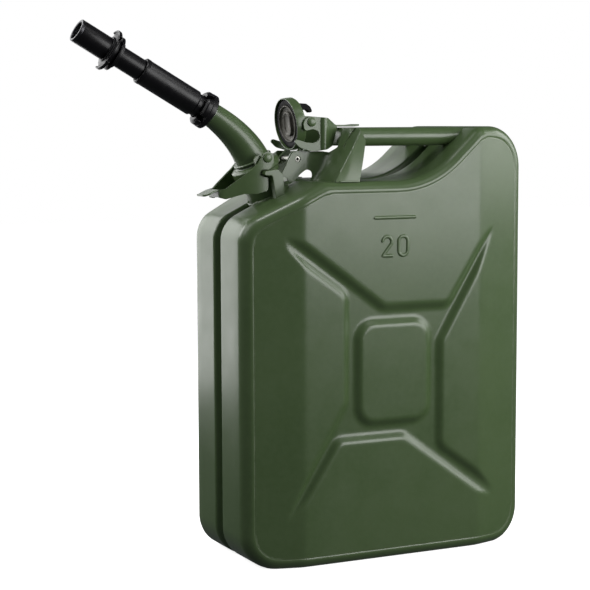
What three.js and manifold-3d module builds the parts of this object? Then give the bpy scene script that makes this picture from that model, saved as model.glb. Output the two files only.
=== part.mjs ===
// A 20-litre pressed-steel fuel can with its pouring spout latched on and its own cap swung open.
// Millimetres, +Z up. The can stands on z = 0, X runs along its length (spout towards -X) and Y across it.
import * as THREE from "three";
import { mergeVertices } from "three/addons/utils/BufferGeometryUtils.js";
import Module from "manifold-3d";

const wasm = await Module();
wasm.setup();

// ---- Driving dimensions ----------------------------------------------------------------------
const CAN_CENTRE_X = 81; // from the middle of the whole object to the middle of the can

const LENGTH = 345; // can body
const WIDTH = 165;
const TOP_Z = 412;
const CREST_Z = 470; // top of the raised rear end, level with the handles
const FLAT_X = 108.25; // half length of the flat middle of each broad face
const FACET_SLOPE = 0.264; // how fast the broad face falls back beyond it
const FACE_ROUND = 12; // radius from the broad face to the perimeter
const WALL = 0.9; // sheet thickness
const GROOVE_DEPTH = 9;
const GROOVE_HALF = 8.5;
const HALF_GAP = 0.15; // each half stops this far from the centre plane

const PRESS_DEPTH = 5.3; // the X-shaped pressing in the broad faces
const PRESS_SLOPE = 6.5; // width of its sloping walls
const PANEL_CENTRE_Z = 206;

const NECK = { x: -109, z: 391, tilt: 26 }; // centre of the mouth's axis, leaning towards -X
const NECK_RADIUS = 22;
const NECK_TOP = 36.5;

const HANDLE_RADIUS = 10;
const HANDLE_Z = 460;
const HANDLE_SPACING = 42;

const HINGE = [-87.4, 436.4]; // the can cap's hinge pin, in X and Z
const CAP = { x: -86, z: 474.5, lean: 8, radius: 28.3, skirt: 4.6 };
const CAP_RIVET = [-74.8, 476.2];
const SPOUT_RIVET = [-126.9, 438.1];
const PIN_RADIUS = 3;
const PIN_CLEARANCE = 0.3;

const NOZZLE = { x: -181.3, z: 486.4, rise: 29.95 }; // where the plastic starts, and its angle
const PIPE_BASE_RADIUS = 19;
const PIPE_END_RADIUS = 12;
const TIP_END = 169.4; // from the start of the nozzle to its tip

const GAP = 0.35; // between pieces that touch
const SAG = 0.25; // how far an arc's chords may stray

// ---- Shape helpers ---------------------------------------------------------------------------
const radians = THREE.MathUtils.degToRad;

function solid(geometry) {
  const bare = new THREE.BufferGeometry();
  bare.setAttribute("position", geometry.getAttribute("position").clone());
  if (geometry.index) bare.setIndex(geometry.index.clone());
  const merged = mergeVertices(bare, 1e-3);
  return new wasm.Manifold(
    new wasm.Mesh({
      numProp: 3,
      vertProperties: new Float32Array(merged.attributes.position.array),
      triVerts: new Uint32Array(merged.index.array),
    }),
  );
}

function geometryOf(manifold) {
  const made = manifold.getMesh();
  const geometry = new THREE.BufferGeometry();
  geometry.setAttribute("position", new THREE.BufferAttribute(made.vertProperties, 3));
  geometry.setIndex(new THREE.BufferAttribute(made.triVerts, 1));
  return geometry;
}

const join = (...solids) => solids.reduce((a, b) => a.add(b));

function arcSteps(radius, turn) {
  const step = 2 * Math.acos(1 - Math.min(0.5, SAG / radius));
  return Math.max(2, Math.ceil(turn / step));
}

// Corners [x, z, fillet radius], counter-clockwise, as an outline with its fillets drawn in.
function filleted(corners) {
  const at = (i) => new THREE.Vector2(...corners[(i + corners.length) % corners.length]);
  return corners.flatMap(([x, z, radius = 0], i) => {
    const corner = new THREE.Vector2(x, z);
    if (!radius) return [corner];
    const back = at(i - 1).sub(corner).normalize();
    const ahead = at(i + 1).sub(corner).normalize();
    const half = Math.acos(back.dot(ahead)) / 2;
    const centre = back.clone().add(ahead).setLength(radius / Math.sin(half)).add(corner);
    const first = back.clone().multiplyScalar(radius / Math.tan(half)).add(corner).sub(centre);
    const turn = (Math.PI - 2 * half) * Math.sign(ahead.cross(back));
    const steps = arcSteps(radius, Math.abs(turn));
    return Array.from({ length: steps + 1 }, (_, k) =>
      first.clone().rotateAround(new THREE.Vector2(), (turn * k) / steps).add(centre),
    );
  });
}

// The outline moved in by a distance at every point (outwards when negative).
function inset(outline, distance) {
  const n = outline.length;
  return outline.map((point, i) => {
    const along = point.clone().sub(outline[(i - 1 + n) % n]).normalize();
    const next = outline[(i + 1) % n].clone().sub(point).normalize();
    const normal = new THREE.Vector2(-along.y - next.y, along.x + next.x).normalize();
    const stretch = normal.dot(new THREE.Vector2(-next.y, next.x));
    return normal.multiplyScalar(distance / stretch).add(point);
  });
}

// A solid through rings of equal length; flatten gives a ring point's place for its end cap.
function loft(rings, flatten) {
  const n = rings[0].length;
  const index = [];
  for (let r = 0; r + 1 < rings.length; r++) {
    for (let i = 0; i < n; i++) {
      const a = r * n + i;
      const b = r * n + ((i + 1) % n);
      index.push(a, b + n, b, a, a + n, b + n);
    }
  }
  const cap = (ring) => THREE.ShapeUtils.triangulateShape(ring.map(flatten), []);
  cap(rings[0]).forEach(([a, b, c]) => index.push(a, b, c));
  const last = (rings.length - 1) * n;
  cap(rings.at(-1)).forEach(([a, b, c]) => index.push(last + a, last + c, last + b));
  const geometry = new THREE.BufferGeometry().setFromPoints(rings.flat());
  geometry.setIndex(index);
  return solid(geometry);
}

// A plate whose outline lies in XZ, between two values of Y.
function plate(outline, yLow, yHigh, holes = []) {
  const shape = new THREE.Shape(outline.map((p) => (p.isVector2 ? p : new THREE.Vector2(...p))));
  holes.forEach(([x, z, radius]) => {
    shape.holes.push(new THREE.Path().absarc(x, z, radius, 0, 2 * Math.PI, true));
  });
  const geometry = new THREE.ExtrudeGeometry(shape, {
    depth: yHigh - yLow,
    bevelEnabled: false,
    curveSegments: 8,
  });
  return solid(geometry.rotateX(Math.PI / 2).translate(0, yHigh, 0));
}

// A prism whose outline lies in XY, over the full height.
function planPrism(outline, holes = []) {
  const shape = new THREE.Shape(outline.map((p) => new THREE.Vector2(...p)));
  holes.forEach((hole) => {
    shape.holes.push(new THREE.Path(hole.map((p) => new THREE.Vector2(...p))));
  });
  return solid(new THREE.ExtrudeGeometry(shape, { depth: 600, bevelEnabled: false }));
}

function box(x0, x1, y0, y1, z0, z1) {
  const geometry = new THREE.BoxGeometry(x1 - x0, y1 - y0, z1 - z0);
  return solid(geometry.translate((x0 + x1) / 2, (y0 + y1) / 2, (z0 + z1) / 2));
}

// A solid and its mirror image on the other side of the centre plane.
function bothSides(made) {
  return [made, made.mirror([0, 1, 0])];
}

// A local frame in the XZ plane: origin, and an axis tilted from +Z towards -X.
function tilted(x, z, tilt) {
  return new THREE.Matrix4()
    .makeTranslation(x, 0, z)
    .multiply(new THREE.Matrix4().makeRotationY(-radians(tilt)));
}

const neckFrame = tilted(NECK.x, NECK.z, NECK.tilt);
const nozzleFrame = tilted(NOZZLE.x, NOZZLE.z, 90 - NOZZLE.rise);
const capFrame = tilted(CAP.x, CAP.z, CAP.lean - 90);

// A turned solid: profile [radius, height along the frame's axis] closed on itself or the axis.
function turned(profile, frame, segments = 28) {
  const loop = profile.map(([r, h]) => new THREE.Vector2(r, h));
  if (profile[0][0] > 0) loop.push(loop[0].clone());
  if (THREE.ShapeUtils.area(loop) < 0) loop.reverse();
  const geometry = new THREE.LatheGeometry(loop, segments);
  return solid(geometry.rotateX(Math.PI / 2).applyMatrix4(frame));
}

// A round bar along Y, through the point [x, z].
function crossBar([x, z], radius, yLow, yHigh, segments = 20) {
  const geometry = new THREE.CylinderGeometry(radius, radius, yHigh - yLow, segments);
  return solid(geometry.translate(x, (yLow + yHigh) / 2, z));
}

const crossPoint = (frame, s, t) => {
  const p = new THREE.Vector3(s, 0, t).applyMatrix4(frame);
  return [p.x, p.z];
};

// ---- Can body --------------------------------------------------------------------------------
const slopeRun = Math.tan(radians(NECK.tilt));
const SLOPE_TOP_X = -83;
const canOutline = filleted([
  [-LENGTH / 2, 0, 38],
  [LENGTH / 2, 0, 38],
  [LENGTH / 2, CREST_Z, 45],
  [108, CREST_Z, 18],
  [44.4, TOP_Z, 100],
  [SLOPE_TOP_X, TOP_Z, 20],
  [-LENGTH / 2, TOP_Z - (LENGTH / 2 + SLOPE_TOP_X) * slopeRun, 30],
]);

// One block of the can from its broad face past the centre plane, shrunk by a distance all round.
function halfBlock(shrink) {
  const face = -WIDTH / 2 + shrink;
  const turns = [90, 60, 30, 0].map(radians);
  const rings = turns.map((angle) => {
    const outline = inset(canOutline, shrink + FACE_ROUND * (1 - Math.cos(angle)));
    const y = face + FACE_ROUND * (1 - Math.sin(angle));
    return outline.map((p) => new THREE.Vector3(p.x, y, p.y));
  });
  rings.push(rings.at(-1).map((p) => new THREE.Vector3(p.x, 40, p.z)));
  const block = loft(rings, (p) => new THREE.Vector2(p.x, p.z));
  const far = LENGTH;
  const [left, middle, right] = [
    [-far, -FLAT_X],
    [-FLAT_X, FLAT_X],
    [FLAT_X, far],
  ].map(([x0, x1]) => {
    const slice = geometryOf(block.intersect(box(x0, x1, -200, 200, -100, 600)));
    const position = slice.getAttribute("position");
    for (let i = 0; i < position.count; i++) {
      const fall = FACET_SLOPE * Math.max(0, Math.abs(position.getX(i)) - FLAT_X);
      position.setY(i, position.getY(i) + fall);
    }
    return solid(slice);
  });
  return join(middle, left, right).subtract(box(-far, far, -HALF_GAP, 200, -100, 600));
}

// The groove round the seam, as the ring of space that it takes away.
function grooveRing(extra) {
  const shape = new THREE.Shape(inset(canOutline, -20));
  shape.holes.push(new THREE.Path(inset(canOutline, GROOVE_DEPTH + extra)));
  const half = GROOVE_HALF + extra;
  const geometry = new THREE.ExtrudeGeometry(shape, { depth: 2 * half, bevelEnabled: false });
  return solid(geometry.rotateX(Math.PI / 2).translate(0, half, 0));
}

// The X-shaped pressing: four arms that meet in a ring round a raised centre panel.
function pressing(extra) {
  const halfTurn = ([x, z]) => [-x, 2 * PANEL_CENTRE_Z - z];
  const upper = [
    [61, 236],
    [135, 359.5],
    [132, 380],
    [66.5, 279.5],
    [-12, 279.5],
    [-135, 369],
    [-135, 343.5],
    [-61, 291],
  ];
  const shape = new THREE.Shape([...upper, ...upper.map(halfTurn)].map((p) => new THREE.Vector2(...p)));
  const panel = filleted([
    [-40.5, 154, 16],
    [40.5, 154, 16],
    [40.5, 258, 16],
    [-40.5, 258, 16],
  ]);
  shape.holes.push(new THREE.Path(panel));
  const geometry = new THREE.ExtrudeGeometry(shape, {
    depth: 2,
    bevelEnabled: true,
    bevelThickness: PRESS_DEPTH,
    bevelSize: PRESS_SLOPE,
    bevelOffset: extra - PRESS_SLOPE,
    bevelSegments: 1,
  });
  return solid(geometry.rotateX(Math.PI / 2).translate(0, -WIDTH / 2 + extra, 0));
}

function canHalf() {
  const outside = halfBlock(0).subtract(grooveRing(0)).subtract(pressing(0));
  const inside = halfBlock(WALL).subtract(grooveRing(WALL)).subtract(pressing(WALL));
  const mouth = turned([[0, -30], [NECK_RADIUS + GAP, -30], [NECK_RADIUS + GAP, 30], [0, 30]], neckFrame);
  return outside.subtract(inside).subtract(mouth);
}

function seamBead() {
  const shape = new THREE.Shape(inset(canOutline, 5.5));
  shape.holes.push(new THREE.Path(inset(canOutline, GROOVE_DEPTH - GAP)));
  const geometry = new THREE.ExtrudeGeometry(shape, { depth: 3, bevelEnabled: false });
  const ring = solid(geometry.rotateX(Math.PI / 2).translate(0, 1.5, 0));
  return ring.subtract(turned([[0, -12], [26, -12], [26, 40], [0, 40]], neckFrame));
}

// ---- Handles and their bracket ---------------------------------------------------------------
const BRACKET_FOOT = { front: -66, back: -40, halfWidth: 75, cornerX: 2.5, cornerY: 5, z: TOP_Z + GAP };
const BRACKET_TOP = { front: -31.5, back: -20, halfWidth: 54.5, cornerX: 6, cornerY: 10.5, z: 469.5 };
const BRACKET_SHEET = 2;

// The bracket's block at a wall's depth inside it, run past its ends and back by a share of itself.
function bracketBlock(wall, past) {
  const level = (share) => {
    const at = (key) => THREE.MathUtils.lerp(BRACKET_FOOT[key], BRACKET_TOP[key], share);
    const [front, back, y] = [at("front") + wall, at("back") + 60 * past, at("halfWidth") - wall];
    const [corner, inner] = [front + at("cornerX"), y - at("cornerY")];
    const outline = [[corner, -y], [back, -y], [back, y], [corner, y], [front, inner], [front, -inner]];
    return outline.map(([x, w]) => new THREE.Vector3(x, w, at("z")));
  };
  const flatten = (p) => new THREE.Vector2(p.x, p.y);
  return loft([level(1 + past), level(-past)], flatten);
}

function handleBracket() {
  const sheet = bracketBlock(0, 0).subtract(bracketBlock(BRACKET_SHEET, 0.5));
  const foot = box(-66, -38, -76, -66, BRACKET_FOOT.z, BRACKET_FOOT.z + BRACKET_SHEET);
  const betweenWebs = box(-80, -20, -18.4, 18.4, 400, 441);
  const underHandles = box(-80, -20, -34, 34, 440.5, 450.5);
  return join(sheet, ...bothSides(foot)).subtract(betweenWebs).subtract(underHandles);
}

function handle(y) {
  const geometry = new THREE.CylinderGeometry(HANDLE_RADIUS, HANDLE_RADIUS, 170, 28);
  const bar = solid(geometry.rotateZ(Math.PI / 2).translate(35, y, HANDLE_Z));
  const rear = plate(inset(canOutline, -GAP), -80, 80);
  const front = box(-80, -15, -80, 80, 440, 480).subtract(bracketBlock(BRACKET_SHEET + 1.5 * GAP, 0.5));
  return bar.subtract(rear).subtract(front);
}

// ---- Filler neck -----------------------------------------------------------------------------
function fillerNeck() {
  return turned(
    [
      [20, -3],
      [NECK_RADIUS, -3],
      [NECK_RADIUS, 31],
      [24, 32.5],
      [24, 35.5],
      [22.8, NECK_TOP],
      [20, NECK_TOP],
    ],
    neckFrame,
  );
}

function breatherTube() {
  const shifted = neckFrame.clone().multiply(new THREE.Matrix4().makeTranslation(14, 0, 0));
  return turned([[3, -24], [4, -24], [4, 32], [3, 32]], shifted, 16);
}

// Upright strap on each side of the neck, its top turned forward to catch the lever.
function neckEar() {
  const foot = (x) => [x, TOP_Z + (x - SLOPE_TOP_X) * slopeRun + GAP];
  const outline = [
    foot(-119.5),
    foot(-109),
    [-110.8, 421],
    [-117.5, 426.5],
    [-131.5, 424.3],
    [-133.5, 421.8],
    [-131.5, 419.6],
    [-123.8, 419.4],
  ];
  return plate(outline, -36, -27.6);
}

// Upright plate between the cap's hinge and the handle bracket.
function hingeWeb() {
  const outline = [
    [-101.3, 416.1],
    [-93, 411.3],
    [-88, 412.4],
    [-83.3, 420.1],
    [-76, 424.8],
    [-71, 423.4],
    [-69.8, 417.7],
    [-73, 412.6],
    [-66.8, 412.9],
    [-48.6, 443],
    [-76, 443.4],
    [-81.5, 442.6],
    [-91.6, 445.1],
    [-95.4, 441.9],
    [-99.2, 434.4],
    [-106.1, 422.6],
  ];
  return plate(outline, -21, -18.7, [[...HINGE, PIN_RADIUS + PIN_CLEARANCE]]);
}

function hingePin() {
  return join(
    crossBar(HINGE, PIN_RADIUS, -24, 24),
    crossBar(HINGE, 4.8, -24, -21.4),
    crossBar(HINGE, 4.8, 21.4, 24),
  );
}

// ---- Cap, open -------------------------------------------------------------------------------
function capDisc() {
  const { radius, skirt } = CAP;
  const dish = turned(
    [
      [0, 1],
      [radius - 1, 1],
      [radius - 1, -skirt],
      [radius, -skirt],
      [radius, 4],
      [25, 7],
      [0, 7.5],
    ],
    capFrame,
  );
  const lugOutline = [
    [-93.2, 437],
    [-91, 431.5],
    [-85, 430.6],
    [-81.4, 435],
    [-76.5, 452],
    [-80, 452.4],
    [-83.4, 446],
  ];
  const lug = plate(lugOutline, -18, -13, [[...HINGE, PIN_RADIUS + PIN_CLEARANCE]]);
  const earOutline = [[-83.4, 466], [-76, 468.6], [-69.2, 471.5], [-68, 478], [-72, 482.3], [-85, 484]];
  const ear = plate(earOutline, -27.4, -24.8, [[...CAP_RIVET, PIN_RADIUS + PIN_CLEARANCE]]);
  return join(dish, ...bothSides(lug), ...bothSides(ear));
}

function capGasket() {
  return turned([[20.3, 0.6], [20.3, -2.2], [21, -2.8], [26.3, -2.8], [26.9, -2.2], [26.9, 0.6]], capFrame);
}

// The lining inside the gasket: a dish with a raised rim, and an oval boss in its middle.
function capBoss() {
  const dish = turned([[0, 0.6], [19.9, 0.6], [19.9, -3.2], [18.9, -3.2], [18.2, -1], [0, -1]], capFrame);
  const narrow = new THREE.Matrix4().makeScale(1, 0.62, 1);
  const boss = turned([[0, -0.5], [14, -0.5], [13.2, -3.4], [0, -3.4]], capFrame.clone().multiply(narrow));
  return dish.add(boss);
}

function capCatch() {
  const outline = [
    [-81.4, 497],
    [-80.5, 489.6],
    [-66.4, 489.3],
    [-63.5, 486.4],
    [-59.6, 487.2],
    [-62.2, 493],
    [-67.1, 496],
  ];
  return plate(outline, -4, 4);
}

// A forked lever: its side profile, limited in plan to two arms and the wall that joins them.
function lever(profile, holes, planOuter, planInner) {
  return plate(profile, -60, 60, holes).intersect(planPrism(planOuter, [planInner]));
}

function capLever() {
  const profile = [
    [-83.5, 468],
    [-80.5, 466.9],
    [-72.9, 468.6],
    [-66.6, 466.2],
    [-64.6, 460.6],
    [-66.8, 455.6],
    [-72.4, 453.6],
    [-80.9, 454.2],
    [-91.6, 457.5],
    [-96.4, 455.9],
    [-88.1, 448.4],
    [-76.1, 445],
    [-66.4, 444.9],
    [-55.5, 447],
    [-45.8, 450.2],
    [-40.4, 459],
    [-38, 465.5],
    [-36.6, 470.6],
    [-34, 471],
    [-34, 473],
    [-40, 473.5],
    [-55.4, 480.6],
    [-76, 482.3],
    [-82, 479.5],
    [-84.4, 474.5],
  ];
  const outer = [[-100, -31.6], [-58, -31.6], [-34.4, -14], [-34.4, 14], [-58, 31.6], [-100, 31.6]];
  const inner = [[-99, -29.3], [-59, -29.3], [-36.6, -12.4], [-36.6, 12.4], [-59, 29.3], [-99, 29.3]];
  const fork = lever(profile, [[...CAP_RIVET, PIN_RADIUS + PIN_CLEARANCE]], outer, inner);
  const tab = box(-36.2, -4, -12, 12, 471, 473);
  return fork.subtract(box(-101, -98, -29, 29, 400, 500)).add(tab);
}

function rivet([x, z], y0, y1, headDepth) {
  const shank = crossBar([x, z], PIN_RADIUS, y0, y1);
  return shank.add(crossBar([x, z], 5, y0, y0 + headDepth));
}

// ---- Spout -----------------------------------------------------------------------------------
function spoutBase() {
  const cup = turned(
    [
      [25, 37.3],
      [27, 37.3],
      [27, 44.5],
      [25.5, 46.2],
      [21, 46.6],
      [21, 50],
      [17.5, 50],
      [17.5, 41.5],
      [25, 41.5],
    ],
    neckFrame,
  );
  const earOutline = [[-4, 44], [10, 44], [9, 55], [4.5, 57.5], [0, 55]].map(([s, t]) =>
    crossPoint(neckFrame, s, t),
  );
  const ears = [-1, 1].map((side) => {
    const [y0, y1] = [side * 22.5, side * 27].sort((a, b) => a - b);
    return plate(earOutline, y0, y1, [[...SPOUT_RIVET, PIN_RADIUS + PIN_CLEARANCE]]);
  });
  return join(cup, ...ears);
}

function spoutGasket() {
  return turned([[18, 37], [24.6, 37], [24.6, 41.1], [18, 41.1]], neckFrame, 28);
}

const pipeCurve = (() => {
  const point = (frame, t) => new THREE.Vector3(0, 0, t).applyMatrix4(frame);
  return new THREE.CubicBezierCurve3(
    point(neckFrame, 50.4),
    point(neckFrame, 64),
    point(nozzleFrame, -34),
    point(nozzleFrame, 8),
  );
})();

function pipeBody(wall, overrun) {
  const steps = 10;
  const sides = 20;
  const rings = Array.from({ length: steps + 1 }, (_, k) => {
    const centre = pipeCurve.getPointAt(k / steps);
    const along = pipeCurve.getTangentAt(k / steps);
    if (k === 0) centre.addScaledVector(along, -overrun);
    if (k === steps) centre.addScaledVector(along, overrun);
    const across = new THREE.Vector3(0, 1, 0).cross(along);
    const radius = THREE.MathUtils.lerp(PIPE_BASE_RADIUS, PIPE_END_RADIUS, k / steps) - wall;
    return Array.from({ length: sides }, (_, i) => {
      const angle = (2 * Math.PI * i) / sides;
      return centre
        .clone()
        .addScaledVector(across, radius * Math.cos(angle))
        .addScaledVector(new THREE.Vector3(0, -1, 0), radius * Math.sin(angle));
    });
  });
  const spin = (_, i) => new THREE.Vector2(1, 0).rotateAround(new THREE.Vector2(), (2 * Math.PI * i) / sides);
  return loft(rings, spin);
}

function spoutPipe() {
  return pipeBody(0, 0).subtract(pipeBody(1.4, 5));
}

function ventTube() {
  const section = new THREE.Shape().absarc(0, 0, 3, 0, 2 * Math.PI);
  section.holes.push(new THREE.Path().absarc(0, 0, 2, 0, 2 * Math.PI, true));
  const geometry = new THREE.ExtrudeGeometry(section, {
    extrudePath: pipeCurve,
    steps: 8,
    curveSegments: 4,
  });
  return solid(geometry.translate(0, 5.5, 0));
}

function spoutLever() {
  const [px, pz] = SPOUT_RIVET;
  const slot = (radius, degrees) => [
    px + radius * Math.sin(radians(degrees)),
    pz - radius * Math.cos(radians(degrees)),
  ];
  const profile = [
    [-172.6, 404.9],
    [-176.4, 404.6],
    [-176.4, 396],
    [-170.3, 394.3],
    [-158.7, 398.3],
    [-151.7, 400.3],
    [-133, 400.9],
    [-125.6, 403],
    slot(22, 3),
    slot(20.6, -4),
    slot(20.6, -14),
    slot(19.4, -26),
    slot(15.2, -30),
    slot(12.8, -22),
    slot(12.2, 10),
    [-119.6, 433],
    [-119, 440],
    [-124, 445.4],
    [-131.5, 443.6],
    [-137.5, 432.9],
    [-144.5, 425.6],
    [-155.1, 417.3],
    [-164.4, 411.1],
  ];
  const outer = [[-176.2, -16], [-140, -30.6], [-116, -30.6], [-116, 30.6], [-140, 30.6], [-176.2, 16]];
  const inner = [[-174.2, -14.4], [-139.5, -28], [-115, -28], [-115, 28], [-139.5, 28], [-174.2, 14.4]];
  const frontOfArms = planPrism(outer).subtract(planPrism(inner));
  const fork = plate(profile, -60, 60, [[px, pz, PIN_RADIUS + PIN_CLEARANCE]]).intersect(frontOfArms);
  const tab = plate([[-174.4, 402.6], [-174.4, 404.8], [-185, 403.2], [-193, 397.4], [-185, 400.9]], -13, 13);
  return fork.add(tab);
}

// ---- Nozzle ----------------------------------------------------------------------------------
function nozzleCollar() {
  const ring = turned(
    [[13.1, 0], [18.4, 0], [19.6, 1.2], [19.6, 11.8], [18, 13.7], [13.1, 13.7]],
    nozzleFrame,
  );
  const notches = [0, 90, 180, 270].map((degrees) => {
    const geometry = new THREE.BoxGeometry(6, 8, 14).translate(19.6, 0, 13.7);
    geometry.rotateZ(radians(degrees + 45)).applyMatrix4(nozzleFrame);
    return solid(geometry);
  });
  return notches.reduce((a, b) => a.subtract(b), ring);
}

function nozzleSleeve() {
  return turned(
    [
      [9.5, 8.6],
      [12.25, 8.6],
      [12.25, 20.2],
      [14, 21.4],
      [14, 87.8],
      [13.2, 89.3],
      [11.8, 89.3],
      [11.8, 24],
      [9.5, 24],
    ],
    nozzleFrame,
  );
}

function slideTube() {
  return turned([[9.7, 68], [11.5, 68], [11.5, 124.8], [9.7, 124.8]], nozzleFrame);
}

// A slice of a wider disc that stands out of the flange, with its middle at some degrees round from the top.
function flangeEar(middle) {
  const slice = new THREE.Shape().moveTo(0, 0);
  slice.absarc(0, 0, 22.6, radians(middle - 37), radians(middle + 37));
  const settings = { depth: 2.8, bevelEnabled: false, curveSegments: 16 };
  const geometry = new THREE.ExtrudeGeometry(slice, settings).translate(0, 0, 127);
  return solid(geometry.applyMatrix4(nozzleFrame));
}

function hookFlange() {
  const hub = turned(
    [
      [11.85, 118],
      [14.6, 118],
      [14.6, 120.4],
      [19, 121],
      [19, 123.4],
      [15, 124],
      [15, 126.4],
      [19, 127],
      [19, 129.8],
      [14.6, 130.2],
      [14.6, 132],
      [11.85, 132],
    ],
    nozzleFrame,
    24,
  );
  const bore = turned([[0, 100], [11.85, 100], [11.85, 150], [0, 150]], nozzleFrame, 24);
  return join(hub, flangeEar(-13), flangeEar(193)).subtract(bore);
}

function tipTube() {
  return turned([[9.9, 132.4], [12.7, 132.4], [12.7, 165], [9.9, 165]], nozzleFrame);
}

function tipRing() {
  return turned([[9.9, 165.35], [12.7, 165.35], [12.7, TIP_END], [9.9, TIP_END]], nozzleFrame);
}

function tipValve() {
  return turned([[0, 138], [2.5, 138], [2.5, 158], [9.4, 159.5], [9.4, 162.5], [0, 162.5]], nozzleFrame, 24);
}

// ---- Materials and assembly ------------------------------------------------------------------
const paint = () => new THREE.MeshStandardMaterial({ color: 0x4c5d44, roughness: 0.38, metalness: 0 });
const steel = () => new THREE.MeshStandardMaterial({ color: 0x8a8c86, roughness: 0.35, metalness: 1 });
const rubber = () => new THREE.MeshStandardMaterial({ color: 0x161617, roughness: 0.7, metalness: 0 });
const plastic = () => new THREE.MeshStandardMaterial({ color: 0x1b1a1d, roughness: 0.32, metalness: 0 });

const can = new THREE.Group();
can.position.x = CAN_CENTRE_X;

function add(name, made, material) {
  const geometry = geometryOf(made);
  geometry.computeVertexNormals();
  const piece = new THREE.Mesh(geometry, material);
  piece.name = name;
  can.add(piece);
}

// The same piece on both sides of the centre plane.
function addPair(name, made, material) {
  add(name + "_near", made, material());
  const geometry = geometryOf(made);
  geometry.computeVertexNormals();
  const piece = new THREE.Mesh(geometry, material());
  piece.name = name + "_far";
  piece.scale.y = -1;
  can.add(piece);
}

addPair("shell", canHalf(), paint);
add("seam_bead", seamBead(), paint());
addPair("handle", handle(-HANDLE_SPACING), paint);
add("handle_centre", handle(0), paint());
add("handle_bracket", handleBracket(), paint());
add("filler_neck", fillerNeck(), paint());
add("breather_tube", breatherTube(), steel());
addPair("neck_ear", neckEar(), paint);
addPair("hinge_web", hingeWeb(), paint);
add("hinge_pin", hingePin(), steel());

add("cap_disc", capDisc(), paint());
add("cap_gasket", capGasket(), rubber());
add("cap_boss", capBoss(), steel());
add("cap_catch", capCatch(), paint());
addPair("cap_rivet", rivet(CAP_RIVET, -34, -24.2, 2.2), paint);
add("cap_lever", capLever(), paint());

add("spout_base", spoutBase(), paint());
add("spout_gasket", spoutGasket(), rubber());
add("spout_pipe", spoutPipe(), paint());
add("vent_tube", ventTube(), steel());
addPair("spout_rivet", rivet(SPOUT_RIVET, -33, -22.6, 2.1), paint);
add("spout_lever", spoutLever(), paint());

add("nozzle_collar", nozzleCollar(), plastic());
add("nozzle_sleeve", nozzleSleeve(), plastic());
add("slide_tube", slideTube(), plastic());
add("hook_flange", hookFlange(), plastic());
add("tip_tube", tipTube(), plastic());
add("tip_ring", tipRing(), steel());
add("tip_valve", tipValve(), plastic());

const part = new THREE.Group();
part.add(can);
export default part;
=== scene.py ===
"""A pressed-steel fuel can with its pouring spout latched on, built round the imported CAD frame."""

import math

import bpy
import numpy as np
from mathutils import Matrix, Vector
from mathutils.geometry import delaunay_2d_cdt


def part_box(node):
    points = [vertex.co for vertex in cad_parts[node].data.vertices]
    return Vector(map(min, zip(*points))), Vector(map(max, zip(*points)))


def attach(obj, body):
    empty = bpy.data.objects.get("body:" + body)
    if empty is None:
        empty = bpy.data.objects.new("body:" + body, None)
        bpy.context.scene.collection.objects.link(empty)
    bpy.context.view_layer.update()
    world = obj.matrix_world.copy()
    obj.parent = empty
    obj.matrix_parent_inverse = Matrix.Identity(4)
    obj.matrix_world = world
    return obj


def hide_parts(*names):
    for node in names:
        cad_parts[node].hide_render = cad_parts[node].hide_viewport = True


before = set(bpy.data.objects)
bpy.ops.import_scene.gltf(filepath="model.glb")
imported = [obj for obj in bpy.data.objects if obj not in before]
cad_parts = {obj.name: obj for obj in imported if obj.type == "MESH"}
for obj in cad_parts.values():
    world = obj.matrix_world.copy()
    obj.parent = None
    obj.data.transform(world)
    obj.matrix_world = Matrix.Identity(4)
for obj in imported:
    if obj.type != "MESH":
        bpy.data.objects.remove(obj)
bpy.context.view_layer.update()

# ---- Places, from the frame --------------------------------------------------------------------
# Shapes below are drawn in millimetres, with x = 0 at the middle of the can.
MM = 0.001
CAN_LOW, CAN_HIGH = (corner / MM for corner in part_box("shell_near"))
CAN_X = (CAN_LOW.x + CAN_HIGH.x) / 2
LENGTH = CAN_HIGH.x - CAN_LOW.x
HALF_WIDTH = -CAN_LOW.y
SEAM_GAP = -CAN_HIGH.y
CREST_Z = CAN_HIGH.z


def centre_of(node):
    low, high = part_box(node)
    return (low + high) / (2 * MM) - Vector((CAN_X, 0, 0))


def axis_frame(point, direction, height):
    """A frame whose z runs along direction and is height at the point; its x lies in the XZ plane."""
    z = direction.normalized()
    y = Vector((0, 1, 0))
    x = y.cross(z)
    turn = Matrix((x, y, z)).transposed().to_4x4()
    return Matrix.Translation(point - z * height) @ turn


def leaning(point, degrees, height):
    """The same, with its axis leaning from +Z towards -X."""
    lean = math.radians(degrees)
    return axis_frame(point, Vector((-math.sin(lean), 0, math.cos(lean))), height)


NECK_TILT = 26
NECK = leaning(centre_of("spout_gasket"), NECK_TILT, 39.05)
COLLAR_MIDDLE = 6.85
NOZZLE = axis_frame(
    centre_of("nozzle_collar"), centre_of("tip_ring") - centre_of("nozzle_collar"), COLLAR_MIDDLE
)
CAP_LEAN = 8
CAP = leaning(centre_of("cap_gasket"), CAP_LEAN - 90, -1.1)
HINGE = centre_of("hinge_pin")
CAP_RIVET = centre_of("cap_rivet_near")
SPOUT_RIVET = centre_of("spout_rivet_near")
HANDLES = {name: centre_of(name) for name in ("handle_near", "handle_centre", "handle_far")}
HANDLE_RADIUS = (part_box("handle_near")[1].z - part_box("handle_near")[0].z) / (2 * MM)

# ---- Can dimensions ----------------------------------------------------------------------------
TOP_Z = 412
SLOPE_TOP_X = -83
FLAT_X = 108.25
FACET_SLOPE = 0.264
CREASE = 2.2
FACE_ROUND = 12
WALL = 0.9
GROOVE_DEPTH = 9
PANEL_CENTRE_Z = 206
PRESS_DEPTH = 5.3
PRESS_SLOPE = 6.8
NECK_HOLE = 21.2
GRID = 2.0


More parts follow.
